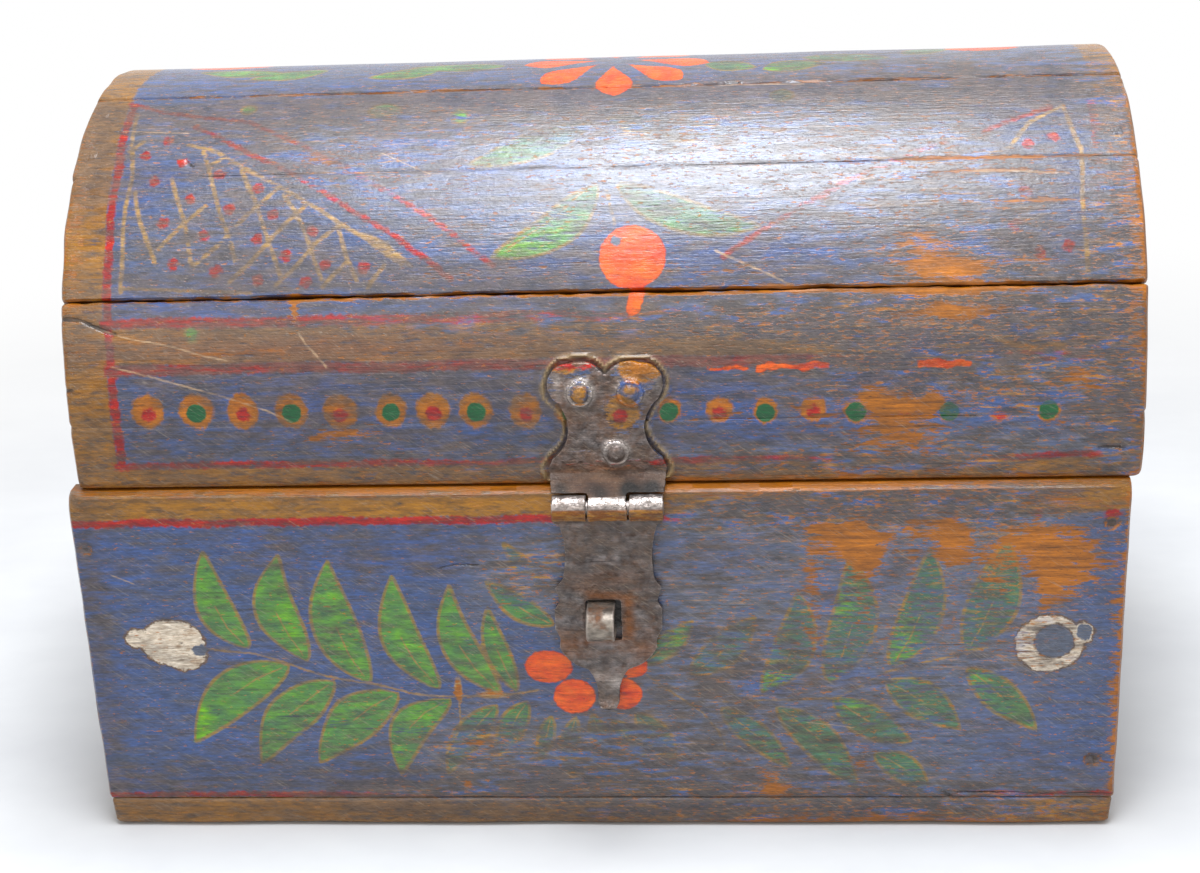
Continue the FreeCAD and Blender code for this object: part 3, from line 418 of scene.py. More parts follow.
FRONT_LINES = {
    "vein": [midrib(*each) for each in LEAVES] + [(way, 0.33) for way in (
        [(-114, 60), (-101, 58), (-92, 55), (-80, 51), (-65, 48), (-54, 45), (-44, 44), (-30, 44), (-17, 46)],
        [(14, 51), (23, 44), (31, 38), (35, 32), (37, 26)],
        [(36, 42), (46, 42), (69, 43), (85, 52), (106, 57), (119, 62)], [(-41, 48), (-41, 34), (-46, 24)])],
    "scratch": [([(-140, 84), (-133, 81)], 0.2), ([(60, 35), (75, 33)], 0.15)],
    "crack": [
        ([(-45, 85), (-39, 86.2), (-32, 86)], 0.25), ([(104, 11.4), (124, 11), (150, 10.8)], 0.22),
        ([(100, 12), (104, 9)], 0.4)],
}
FRONT_AGE = {  # an even share, and patches of x, z, half width, half height, strength
    "wear": (0.13, [
        (72, 93, 10, 6, 0.62), (79, 88, 8, 7, 0.34), (66, 97, 10, 2, 0.3), (101, 91, 6, 9, 0.56),
        (92, 96, 10, 4, 0.3), (121, 92, 12, 7, 0.5), (134, 84, 11, 12, 0.58), (113, 80, 5, 9, 0.36),
        (62, 66, 6, 22, 0.24), (101, 66, 5, 14, 0.26), (76, 78, 4, 18, 0.28), (62, 84, 3, 14, 0.22),
        (90, 84, 3, 12, 0.2), (128, 76, 4, 12, 0.26), (50, 17, 5, 7, 0.42), (53, 12, 9, 3, 0.3),
        (77, 24, 5, 12, 0.26), (-34, 28.5, 6, 2, 0.5), (-41, 46, 1.5, 4, 0.6), (-30, 45, 6, 2, 0.4),
        (148, 40, 2.5, 60, 0.35), (-40, 14, 2, 2, 0.5), (-12, 12, 5, 1, 0.3), (4, 71, 7, 9, 0.3),
        (44, 80, 4, 14, 0.16), (6, 84, 12, 8, 0.08), (85, 1.5, 80, 2.0, 0.42), (-60, 109, 100, 1.6, 0.3),
        (60, 108, 60, 3, 0.35), (133, 104, 20, 3, 0.3), (118, 57, 10, 5, 0.2), (84, 60, 5, 14, 0.16)]),
    "fade": (0.15, [
        (88, 60, 52, 60, 0.3), (28, 60, 30, 40, 0.25), (-12, 84, 22, 12, 0.35), (0, 20, 34, 12, 0.28),
        (88, 104, 44, 7, 0.55), (40, 100, 22, 4, 0.4), (70, 6, 90, 9, 0.5), (-35, 11.5, 50, 2.5, 0.45),
        (-36, 27, 16, 12, 0.34), (-80, 30, 45, 13, 0.12), (-71, 70, 6, 15, 0.12), (-35, 65, 7, 15, 0.12),
        (0, 28, 22, 12, 0.22), (129, 60, 11, 9, 0.2), (-18, 84, 12, 10, 0.2), (112, 96, 12, 30, 0.12)]),
    # The near-black patch at x 5, z 71 is painted shade behind the hasp's slot.
    "grime": (0.3, [
        (-146, 70, 5, 60, 0.35), (30, 12, 140, 8, 0.4), (25, 40, 50, 30, 0.34), (90, 103, 60, 7, 0.55),
        (-60, 92, 50, 12, 0.2), (60, 5, 80, 5, 0.7), (-60, 5, 90, 6, 0.35), (15, 90, 40, 12, 0.2),
        (-60, 18, 60, 10, 0.25), (5, 71, 4.5, 6.5, 3.0), (128, 60, 6, 6, 0.3), (-130, 18, 20, 8, 0.2),
        (0, 108.5, 200, 1.4, 0.45)]),
    "fresh": (0, [
        (-118, 38, 3, 4, 1.0), (-119, 31, 3, 4, 0.7), (50, 48, 6, 4, 1.0), (-50, 38, 6, 4, 0.5),
        (-88, 75, 4, 12, 0.5), (-62, 24, 6, 4, 0.4), (-70, 70, 5, 12, 0.35), (-112, 82, 5, 8, 0.3),
        (72, 50, 5, 4, 0.6), (88, 58, 5, 10, 0.5), (70, 74, 6, 5, 0.6), (50, 60, 2, 3, 0.9),
        (109, 49, 3, 3, 0.5), (64, 16, 4, 2, 0.8), (22, 61, 5, 5, 0.6), (-50, 66, 4, 12, 0.3),
        (74, 41, 6, 2, 0.5)]),
}


def front_pattern(x, height):
    """The coats on the front of the base."""
    u, z = x + 0.4 * ripple(x, height, 12, 11), height + 0.35 * ripple(x, height, 12, 12)
    ring = np.minimum(blob(u, z, 129, 60, 9.2, 8.8), -blob(u, z, 130.3, 60.6, 5.6, 5.6))
    return coats(
        u, z, FRONT_LINES, FRONT_AGE,
        ochre=most(u, z, bars=[(-160, 160, 101, 112), (-160, 160, -5, 10)]),
        red=most(u, z, bars=[(-160, 46, 99, 101.4), (-160, 160, 10, 11.8)],
            dabs=[(145, 100, 2.4, 1.4), (125, 100.5, 1.6, 1.2)]),
        line=most(u, z, dabs=[(-41, 46.5, 1.1, 4), (-31, 44.5, 4.5, 1.2)]),
        leaf=most(u, z, leaves=LEAVES),
        orange=most(u, z,
            dabs=[
                (-14, 53.5, 6.9, 5.2), (-7, 43.8, 6.3, 5.4), (7.6, 44.6, 5.4, 5.2), (10.8, 53.4, 3.8, 3.2)]),
        pod=most(u, z, ring,
            dabs=[
                (-124.3, 62, 9.4, 7.3), (-121.5, 59, 7, 5.6), (-134.8, 63.5, 3.4, 3.0),
                (138.6, 63.6, 2.9, 2.9)]),
        hollow=most(u, z,
            dabs=[(-116.2, 59.6, 2.2, 2.1), (130.3, 60.6, 5.2, 5.2), (138.8, 63.8, 2.4, 2.4)]),
    )


print("front board:", len(LEAVES), "leaves")

# %% [markdown]
# ## The pattern on the lid
# The lid is painted as one sheet bent over the dome. It is laid out with x from the
# lid's middle and s, the way up over the dome from the lower edge in front, so a
# straight band stays straight where the boards bend away. A row of ochre dabs with
# red and green hearts runs along the foot. Above the band, two latticed corners
# frame an orange fruit and its leaves, and a flower lies across the crown.

# %% Pattern on the lid
BACK_HALF, BACK_FOOT = 170, 303.2  # s where the lid's back half starts, and at its lower edge


def dab_height(x):
    """The row of dabs climbs a little to the left."""
    return 21.6 - 1.6 * x / 130


DABS = [
    -127, -113, -100, -86, -72, -58, -46, -34, -20, -7, 7, 20, 34, 47, 60, 72, 85, 97, 111, 124]
LATTICE = [
    [(-136, 120), (-133, 93), (-133, 78), (-133, 58)],
    [(-118, 105), (-109, 102), (-99, 95), (-82, 84), (-64, 72), (-53, 64)], [(-131, 107), (-135, 103)],
    [(-107, 100), (-111, 97)], [(-101, 95), (-96, 84), (-92, 73), (-88, 62)],
    [(-88, 86), (-84, 80), (-80, 71), (-76, 60)], [(-72, 76), (-69, 67), (-66, 60)],
    [(-113, 102), (-108, 88), (-104, 76), (-101, 66)], [(-121, 92), (-116, 78), (-113, 65)],
    [(-131, 88), (-128, 78), (-124, 66)], [(-90, 88), (-95, 83), (-101, 77)],
    [(-82, 82), (-92, 71), (-98, 64), (-102, 60)], [(-72, 76), (-78, 71), (-84, 64), (-89, 59)],
    [(-110, 83), (-116, 78), (-123, 70)], [(-69, 65), (-76, 58)], [(-58, 64), (-63, 58)],
    [(-103, 74), (-112, 65)], [(134.5, 57), (134.3, 80), (134.7, 95.5), (131.5, 113)],
    [(131.5, 113), (122, 106), (116, 97), (109, 94)]]
LATTICE_DOTS = [
    (-130, 101), (-124, 107), (-118.5, 98), (-126, 91.5), (-107.5, 94), (-115, 85.5), (-122, 78),
    (-95.5, 88.5), (-103, 82), (-110, 74), (-90.5, 79.5), (-95, 72.5), (-118.5, 65.5), (-106, 63),
    (-79.5, 74.5), (-86.5, 67.5), (-94, 60.5), (-75, 64.5), (-80.5, 59.5), (-64, 63.5), (128, 100),
    (121, 97.5), (118.5, 82), (115.5, 72), (129.5, 66), (121.5, 64)]
PETALS = [
    ((-1, 154), (-24, 150)), ((-1, 148.5), (-17, 132)), ((3, 147), (4.5, 123.5)), ((7, 148), (24, 133)),
    ((9, 154), (32, 147.5)), ((8, 158), (26, 168)), ((3, 159), (2, 176)), ((-3, 157), (-19, 168))]
LID_LINES = {
    "vein": [
        ([(-23, 112), (-10, 112), (-2, 115)], 0.35), ([(-133, 59), (-112, 57.5), (-95, 57)], 0.5),
        ([(3, 86), (6, 74)], 0.5), ([(3, 113), (18, 106)], 0.3),
        ([(-23, 104), (-12, 107), (-2, 111)], 0.3), ([(-2, 86), (-8, 80), (-24, 68)], 0.3)],
    "scratch": [
        ([(-142, 48), (-129, 44), (-117, 42), (-103, 38)], 0.24),
        ([(-137, 37), (-126, 34), (-115, 31), (-104, 27), (-94, 24), (-86, 20)], 0.26),
        ([(-83, 46), (-81, 42), (-75, 35)], 0.3), ([(33, 67), (54, 56)], 0.3),
        ([(-20, 79), (10, 77)], 0.15), ([(-62, 100), (-46, 92)], 0.2), ([(104, 88.6), (131, 88)], 0.35),
        ([(-139, 112), (-118, 110)], 0.2), ([(34, 128), (60, 127)], 0.25)],
    "crack": [
        ([(-152, 50.5), (-145, 50), (-140, 47.5), (-134, 45.5)], 0.5),
        ([(-152, 30.5), (-147.5, 29.5)], 0.6), ([(-118, 99), (-115, 96)], 0.35),
        ([(137, 9), (146, 9.4)], 0.4), ([(36, 129.5), (41, 129.5)], 0.7)],
}
LID_AGE = {  # as on the front, with s for z
    "wear": (0.155, [
        (84, 23, 15, 2.6, 0.5), (84, 14, 14, 7, 0.52), (76, 26, 5, 3, 0.4), (93, 24, 3, 4, 0.4),
        (97, 48.5, 13, 2.6, 0.62), (98, 53.5, 20, 1.6, 0.4), (133, 29, 8, 5, 0.42), (127, 16, 5, 3, 0.3),
        (97, 60, 13, 3.4, 0.66), (90, 67, 13, 5, 0.38), (60, 39, 60, 2.4, 0.16), (40, 44, 30, 3, 0.16),
        (107, 93.3, 26, 0.9, 0.5), (110, 88.6, 20, 0.8, 0.5), (118, 79, 14, 0.8, 0.42),
        (120, 62, 8, 1, 0.4), (-70, 15, 22, 3, 0.26), (-72, 17, 10, 2, 0.2), (-83.5, 52, 1.4, 4, 0.6),
        (45, 22, 30, 6, 0.14), (20, 128.5, 130, 1.2, 0.15), (60, 134, 60, 3, 0.2),
        (40, 2, 110, 2.5, 0.25), (-147, 70, 3, 50, 0.3), (148, 60, 3.5, 60, 0.34),
        (-28, 62, 30, 2.5, 0.2), (30, 61, 30, 3, 0.22), (-60, 60, 40, 2, 0.12), (-125, 104, 7, 4, 0.18),
        (0, 54.5, 150, 0.9, 0.25), (130, 85, 12, 30, 0.1), (-78, 99, 9, 4, 0.28), (-60, 118, 70, 6, 0.14),
        *[(d, dab_height(d), 3.2, 3.2, -0.4) for d in (47, 72, 97, 124)], (60, 55, 70, 3, 0.12),
        (40, 20, 40, 5, 0.12)]),
    "fade": (0.18, [
        (100, 75, 42, 75, 0.34), (78, 42, 60, 9, 0.42), (90, 24, 50, 7, 0.46), (112, 25, 24, 8, 0.3),
        (30, 100, 50, 30, 0.18), (-55, 112, 60, 10, 0.28), (20, 5, 150, 5, 0.26), (-45, 42, 50, 8, 0.12),
        (-10, 49, 60, 3, 0.22), (0, 152, 170, 22, 0.14), (40, 47, 100, 4, 0.36), (70, 8, 70, 3, 0.3),
        (-128, 112, 12, 12, 0.15), (140, 70, 10, 60, 0.22), (-112, 72, 22, 14, 0.2),
        (30, 36, 30, 4, 0.16), (-20, 102, 24, 9, 0.06), (24, 108, 26, 8, 0.2), (28, 79, 24, 9, 0.06),
        (-14, 76, 16, 9, 0.14), (-20, 90, 90, 20, 0.08), (-90, 100, 30, 10, 0.12), (133, 88, 6, 26, -0.3),
        (120, 105, 14, 7, -0.3), (-66, 92, 26, 10, 0.3), (-40, 72, 16, 8, 0.25), (146, 60, 9, 80, 0.4),
        (-147, 60, 7, 80, 0.1), (40, 38.5, 24, 3, -0.5), (112, 39, 14, 2, -0.3), (40, 7, 26, 1.5, -0.35),
        (130, 6.5, 12, 2, -0.45), (28, 34.5, 12, 2, -0.4), (-10, 48, 40, 3, -0.2),
        *[(d, dab_height(d), 5, 5, -0.18 if d < 10 else -0.3) for d in DABS]]),
    "grime": (0.42, [
        (70, 44, 90, 14, 0.26), (-60, 117, 90, 11, 0.5), (-146, 70, 6, 90, 0.12), (105, 82, 55, 55, 0.2),
        (10, 3, 170, 7, 0.26), (-143, 96, 10, 18, 0.14), (110, 120, 60, 16, 0.26),
        (20, 124, 130, 9, 0.35), (-8, 26, 30, 30, 0.16), (-90, 22, 60, 14, 0.2), (-40, 60, 60, 5, 0.25),
        (0, 152, 150, 12, 0.1), (70, 28, 80, 14, 0.06), (-100, 95, 40, 14, 0.15), (80, 42, 80, 6, 0.44),
        (146, 24, 9, 36, 0.35), (-40, 114.5, 4, 4, -0.5), (-100, 62, 50, 34, 0.2),
        (-148, 110, 8, 20, 0.2), (-70, 42, 64, 6, 0.2), (0, 26, 170, 26, 0.13),
        *[(d, dab_height(d), 5, 5, -0.3) for d in DABS]]),
    "fresh": (0, [
        (-20, 68, 9, 3, 0.4), (-40, 114.5, 3, 4, 1.0), (48, 139, 5, 3, 0.9), (-80, 41, 60, 4, 1.0),
        (89, 38, 4, 5, 0.8), *[(d, dab_height(d), 5, 5, 1.1) for d in DABS], (-122, 88, 16, 16, 0.5),
        (-90, 53.5, 50, 2.5, 0.9), (-60, 98, 34, 9, 0.5), (-108, 28, 30, 6, 0.4), (30, 29, 26, 4, 1.0),
        (76, 30, 10, 2, 1.0), (-20, 72, 40, 7, 0.4), (56, 66, 30, 4, 0.6)]),
}


def lid_pattern(x, s):
    """The coats on the lid, from its front foot over the dome to the back."""
    u, v = x + 0.45 * ripple(x, s, 12, 21), s + 0.35 * ripple(x, s, 12, 22)
    border = -137.5 - 1.5 * np.clip((v - 20) / 100, 0, 1)
    behind = np.where(s > BACK_HALF, BACK_FOOT - v, 2 * NOWHERE)
    upright = np.minimum(u - border, border + 2.4 - u)
    ragged = v + 0.6 * ripple(x, s, 3, 23)

    def bands(height, *rows):
        """Bands at a height that isn't v: the back's own, or a ragged one."""
        return most(u, height, bars=rows)

    return coats(
        u, v, LID_LINES, LID_AGE,
        ochre=most(u, v, border - u, u - 141.5, bands(behind, (-170, 170, -5, 6.5), (-170, 170, 37, 47.5)),
            bars=[(-170, 170, -5, 6.5), (-170, 170, 37, 47.5)],
            dabs=[(d, dab_height(d) + 0.6, *((4.7, 5.2) if d < 10 else (3.6, 3.8))) for d in DABS],
            leaves=[((89, 33), (89, 43), 2.4)]),
        red=most(u, v, np.minimum(upright, np.minimum(v - 6, 126 - v)),
            bands(behind, (-139, 139, 6.3, 8.2), (-139, 139, 47.4, 49.4)),
            bars=[
                (-139, 139, 6.3, 8.2), (-139, 139, 34.2, 37.2), (-139, 139, 47.4, 50.2),
                (138.5, 141, 60, 115)],
            dabs=[
                *[(d, dab_height(d) - 0.4, 2.1, 2.0) for d in DABS[0::2]],
                *[(*d, 1.7, 1.7) for d in LATTICE_DOTS]],
            strokes=[
                (((-117, 113), (-98, 100), (-84, 92), (-61, 76), (-40, 60)), 0.8),
                (((-139, 126), (-130, 121), (-101, 114), (-82, 102), (-56, 85), (-28, 64)), 0.75),
                (((109, 103), (128, 112.5)), 0.8), (((59, 80), (76, 89.5), (98, 99)), 0.8),
                (((36, 65), (59, 80)), 0.7)]),
        line=most(u, v, leaves=[((-66, 74), (-50, 63), 1.5)], strokes=[(way, 0.62) for way in LATTICE]),
        leaf=most(u, v,
            dabs=[
                (-40, 114.5, 2.4, 3.4), (-102.5, 120.5, 2.2, 2.4), (53, 121, 3.4, 3.0),
                (-113, 46, 2.0, 2.4), (-62, 118, 4.5, 3.5)],
            leaves=[
                ((1, 87), (-28, 66), 5.6, 3.9), ((6, 87), (46, 73), 5.0, -3.4),
                ((-2, 111), (-36, 95), 5.0, 2.0), ((3, 112), (44, 107), 5.0, -2.5),
                ((-98, 148), (-124, 152), 4.5, 1), ((-84, 150), (-106, 142), 4.5, 1),
                ((-48, 148), (-70, 140), 4.5, 1), ((-30, 150), (-58, 150), 4.5, 1),
                ((31, 146), (46, 141), 5, 0), ((48, 139), (66, 143), 5, 1), ((60, 150), (86, 146), 5, 1),
                ((90, 152), (104, 160), 5, 1)]),
        orange=most(u, v,
            bands(ragged, (31, 42, 33.5, 34.5), (44, 64, 33.0, 34.8), (88.5, 103, 32.8, 34.9)),
            dabs=[(10.5, 65, 9.2, 9.2), (-117, 166, 13, 8), (114, 162, 11, 7)],
            leaves=[(*each, 5.2, 0, 1.9) for each in PETALS], strokes=[(((12, 55), (11, 51)), 2.0)]),
        hollow=most(u, v, dabs=[(6.3, 69.8, 1.5, 1.6), (3, 152, 1.8, 1.8)]),
        dot=most(u, v, dabs=[(d, dab_height(d), 2.75, 2.75) for d in DABS[1::2]]),
    )


print("lid:", len(DABS), "dabs,", len(LATTICE), "lattice lines,", len(LATTICE_DOTS), "dots")

# %% [markdown]
# ## The plain sides
# The photograph shows only the front. The back and both ends are finished in the same
# hand but plainer: blue ground, an ochre band and a red line at head and foot, and no
# flowers. The lid's ends follow its arch, whose measures the staves need too.

# %% Patterns of the sides nobody decorates
ARCH_R, ARCH_Y, ARCH_Z = 84.4, 2.1, 128.0  # the arch's radius and middle
SPRING, THICK = 19.0, 8.0  # how far up the arch springs over the lid's foot, and how thick a stave is
LID_MIDDLE, RIM_Z = 2.7, 109.0  # the lid's middle along x, and the height of its foot
ARC_LENGTH = math.pi * ARCH_R
WHOLE_WAY = 2 * SPRING + ARC_LENGTH  # over the dome, from foot to foot
PLAIN_LINES = {"scratch": [([(-60, 70), (-30, 60)], 0.3), ([(30, 40), (80, 46)], 0.3)],
               "crack": [([(70, 84), (110, 85)], 0.3)]}
PLAIN_AGE = {
    "wear": (0.2, [(-60, 60, 20, 9, 0.3), (70, 30, 26, 8, 0.3), (20, 90, 40, 6, 0.25)]),
    "fade": (0.24, [(30, 60, 60, 50, 0.25)]),
    "grime": (0.4, [(0, 10, 160, 14, 0.4), (0, 104, 160, 8, 0.3)]),
}
ARCH_LINES = {"crack": [([(-30, 150), (10, 152), (40, 150)], 0.3)]}
ARCH_AGE = {
    "wear": (0.2, [(10, 180, 30, 8, 0.35), (-30, 130, 26, 8, 0.3)]),
    "fade": (0.24, [(20, 160, 40, 40, 0.25)]),
    "grime": (0.45, []),
}


def plain_pattern(x, height):
    """Blue ground between two ochre bands with red lines."""
    u, z = x + 0.6 * ripple(x, height, 16, 31), height + 0.5 * ripple(x, height, 16, 32)
    return coats(
        u, z, PLAIN_LINES, PLAIN_AGE,
        ochre=most(u, z, bars=[(-200, 200, 101, 112), (-200, 200, -5, 10)]),
        red=most(u, z, bars=[(-200, 200, 99, 101.2), (-200, 200, 10, 11.8)]),
    )


def arch_pattern(y, height):
    """The arched ends of the lid: an ochre border that follows the arch, with a red line inside it."""
    round_rim, upright_rim = ARCH_R - np.hypot(y - ARCH_Y, height - ARCH_Z), ARCH_R - np.abs(y - ARCH_Y)
    from_rim = np.where(height > ARCH_Z, round_rim, upright_rim) + 0.6 * ripple(y, height, 14, 41)
    up_round = np.minimum(np.minimum(from_rim - 17, 19.2 - from_rim), height - 115)
    along_foot = np.minimum(np.minimum(height - 115, 117 - height), from_rim - 17)
    return coats(
        y, height, ARCH_LINES, ARCH_AGE,
        ochre=most(y, height, 17 - from_rim, 115 - height),
        red=most(y, height, up_round, along_foot),
    )


def dome_s(y, z):
    """How far up over the dome a place lies, from the lid's foot in front."""
    over = SPRING + ARCH_R * np.arctan2(z - ARCH_Z, ARCH_Y - y)
    beside = np.where(y < ARCH_Y, z - RIM_Z, WHOLE_WAY - (z - RIM_Z))
    return np.where(z > ARCH_Z, over, beside)


print("way over the dome", round(WHOLE_WAY, 1), "mm")

# %% [markdown]
# ## Painted wood, and painted iron
# The real finish is oil paint brushed straight on softwood, then waxed and handled for
# a century. It gives the eye a greyed blue with darker clouds, ridges of grain that
# show through as fine streaks, colour chipped off along the grain down to orange wood,
# rims rubbed bare, and brown grime in the low places. Streaks are 0.7 mm across and
# 20 mm along, clouds 14 to 38 mm, and brush edges waver by half a millimetre. The
# paint stands 0.06 mm proud where it still holds. The hasp's plate was painted over
# with the lid, so the same coats lie on iron there, and most have gone.

# %% Painted finish
def painted(name, grain, iron=False):
    """Brushed and waxed oil paint on softwood or iron. grain is the axis of its fibres: 0 for x, 1 for y."""
    material, tree, place = new_material(name)

    def stretched(length, width):
        """The size of a pattern that is length mm along the fibres and width mm across them."""
        return [length if axis == grain else width for axis in range(3)]

    field = {}
    for stored, parts in COATS:
        vector = wire(tree, "Attribute", out="Vector", attribute_name=stored)
        split = wire(tree, "SeparateXYZ", vector, out=None)
        field.update(zip(parts, split.outputs))
    wear, fade, grime, fresh, ridge = (field[part] for part in ("wear", "fade", "grime", "fresh", "ridge"))

    # Patterns of age, each with its real size.
    streaks = mottling(tree, place, stretched(20, 0.7), 0.11, 5.0, 0.2)
    fine = mottling(tree, place, stretched(2.6, 0.45), 0.23, 3.0, 0.22)
    clouds = mottling(tree, place, stretched(38, 14), 0.37, 5.0, 0.16)
    dabs = mottling(tree, place, (7, 7, 4), 0.41, 4.0, 0.18)
    flecks = mottling(tree, place, stretched(5.5, 1.3), 0.53, 5.0, 0.2)
    smudges = mottling(tree, place, stretched(11, 2.4), 0.83, 5.0, 0.17)
    chips = mottling(tree, place, stretched(2.2, 0.6), 0.97, 3.0, 0.2)
    wavering = mottling(tree, place, (1.7, 1.7, 1.7), 0.61, 3.0, 0.25)
    rubbing = mottling(tree, place, (7, 0.35, 0.35), 0.71, 2.0, 0.2, turn=0.62)
    wobble = summed(tree, -0.65, (wavering, 1.3))

    # How well the coats still hold: the chips' pattern against the fading stored on the board.
    broken = summed(tree, 0, (flecks, 0.45), (streaks, 0.33), (fine, 0.22))
    left_over = wire(tree, "SUBTRACT", broken, fade)
    holds = wire(tree, "MapRange", left_over, -0.13, 0.13, interpolation_type="SMOOTHSTEP")
    firmly = wire(tree, "MapRange", holds, 0, 1, 0.6, 1.0)
    gone = wire(tree, "MapRange", fade, 0.22, 0.45)

    # The paints.
    depth = summed(tree, 0, (clouds, 0.6), (fine, 0.4))
    blue = layered(tree, "#3B4458", (depth, "#4A6094"), (smudges, 0.55, "#555B68"), (gone, 0.5, "#72706E"),
                   (fresh, clouds, "#42609C"))
    crumbs = wire(tree, "MapRange", flecks, 0.5, 0.1, 0, 0.6)
    ochre = layered(tree, "#78542C", (smudges, "#BA8440"), (crumbs, "#55422E"), (fresh, 0.8, "#B8681C"))
    red = layered(tree, "#7C2630", (flecks, "#B4352C"))
    green = layered(tree, "#456B49", (dabs, "#6A9C3E"), (smudges, 0.6, "#46664A"), (gone, "#42604E"),
                    (fresh, flecks, "#7CBA28"))
    orange = layered(tree, "#BE3A18", (dabs, "#DE6424"))
    stained = wire(tree, "MapRange", dabs, 0.75, 0.95, 0, 0.6)
    cream = layered(tree, "#BBA892", (fine, "#E0D6C6"), (stained, "#94775A"))

    # The coats in the order of the brush. A leaf's outline shows through, and a pod has a dark rim.
    wavy = {part: summed(tree, field[part], (wobble, 0.4 if part in ("orange", "dot", "line") else 1.0))
            for part in DISTANCES}
    outline = summed(tree, 0.45, (wire(tree, "ABSOLUTE", field["leaf"]), -1.0))
    outlined = wire(tree, "MULTIPLY", holds, summed(tree, 0.4, (flecks, 0.6)))
    faintly = wire(tree, "MULTIPLY", holds, summed(tree, 0.5, (flecks, 0.5)))
    pod_edge = wire(tree, "ADD", wavy["pod"], 0.6)
    colour = blue
    for coat, distance, held, soft in (
            (ochre, wavy["ochre"], holds, 0.5), (green, wavy["leaf"], holds, 0.5),
            ("#8A6E3C", outline, outlined, 0.25), ("#B08C52", wavy["line"], faintly, 0.4),
            (red, wavy["red"], holds, 0.45), ("#5E4838", pod_edge, firmly, 0.3),
            (cream, wavy["pod"], firmly, 0.3)):
        colour = coat_over(tree, colour, coat, distance, held, soft)

    # Where the coats wore thin, an older ochre coat and the last of the blue stand side by side.
    thin = wire(tree, "MapRange", fade, 0.32, 0.62)
    last_blue = wire(tree, "MapRange", smudges, 0.40, 0.18, 0, 0.8)
    older = wire(tree, "ADD", flecks, streaks)
    older = wire(tree, "MapRange", older, 1.25, 1.5, 0, 0.8)

    # Thin lines: drawn where the stored distance across them is near 0, between their ends.
    hairs = {}
    for kind in ("vein", "scratch", "crack"):
        off = wire(tree, "ABSOLUTE", summed(tree, field[kind], (wobble, 1.1)))
        drawn = wire(tree, "MapRange", off, 1.6, 0.5, interpolation_type="SMOOTHSTEP")
        inside = wire(tree, "MapRange", field[kind + "_reach"], 0.0, 0.8)
        hairs[kind] = wire(tree, "MULTIPLY", drawn, inside)
    colour = layered(tree, colour, (last_blue, thin, "#475A84"), (older, thin, "#A67A3E"),
                     (hairs["vein"], outlined, "#94764A"))

    # What lies under the paint. On iron, proud edges and rubbed places are painted lighter: rubbed metal and
    # a painted highlight.
    if iron:
        lumps = mottling(tree, place, (3.2, 3.2, 3.2), 0.31, 3.0, 0.2)
        rusting = wire(tree, "MULTIPLY", wavering, 0.7)
        pointed = wire(tree, "NewGeometry", out="Pointiness")
        rubbed_edge_and_highlight = wire(tree, "MapRange", pointed, 0.515, 0.58, 0, 0.5)
        rub_and_highlight = wire(tree, "MULTIPLY", fresh, summed(tree, 0.6, (fine, 0.4)))
        rub_and_highlight = wire(tree, "MAXIMUM", rubbed_edge_and_highlight, rub_and_highlight)
        under = layered(tree, "#3A3636", (lumps, "#827D7C"), (dabs, rusting, "#7A5840"), (ridge, "#84532F"),
                        (rub_and_highlight, "#BDB4AE"))
    else:
        inner = wire(tree, "MapRange", field["coat"], 0.5, 0.0)
        inner_wood = layered(tree, "#6E5238", (streaks, "#9A7650"))
        under = layered(tree, "#84532C", (streaks, "#BC7638"), (inner, inner_wood))
    rubbed = wire(tree, "MapRange", field["rim"], 0.0, 2.2, 0.36, 0.0)
    worn = wire(tree, "ADD", wear, rubbed)
    worn = wire(tree, "SUBTRACT", worn, broken)
    bare = wire(tree, "MapRange", worn, -0.06, 0.08, interpolation_type="SMOOTHSTEP")
    speckled = wire(tree, "MapRange", summed(tree, chips, (fade, 0.3), (wear, 0.3)), 0.92, 1.06, 0, 0.8)
    unpainted = wire(tree, "SUBTRACT", field["coat"], summed(tree, 0.35, (flecks, 0.5)))
    unpainted = wire(tree, "MapRange", unpainted, 0.06, -0.06)
    for more in (speckled, unpainted):
        bare = wire(tree, "MAXIMUM", bare, more)

    # Grime lies in the grain and in patches, and more unevenly where the paint is thin. A few of its patches
    # are painted shade.
    soil_and_shade_colour = layered(tree, "#35302F", (dabs, "#584A3F"))
    uneven = wire(tree, "MULTIPLY", summed(tree, -0.5, (smudges, 1.0)), thin)
    dirt_and_shade = summed(tree, grime, (streaks, 0.3), (clouds, 0.3), (smudges, 0.6), (uneven, 0.9))
    dirt_and_shade = wire(tree, "MapRange", dirt_and_shade, 0.86, 1.4, 0, 0.82)
    if not iron:
        dirt_and_shade = wire(tree, "MULTIPLY", dirt_and_shade, summed(tree, 1.0, (bare, -0.6)))
    colour = layered(tree, colour, (bare, under), (dirt_and_shade, soil_and_shade_colour))

    # The thick late paints lie over the dirt.
    for coat, part in ((orange, "orange"), ("#525866", "hollow"), ("#14502C", "dot")):
        colour = coat_over(tree, colour, coat, wavy[part], firmly)
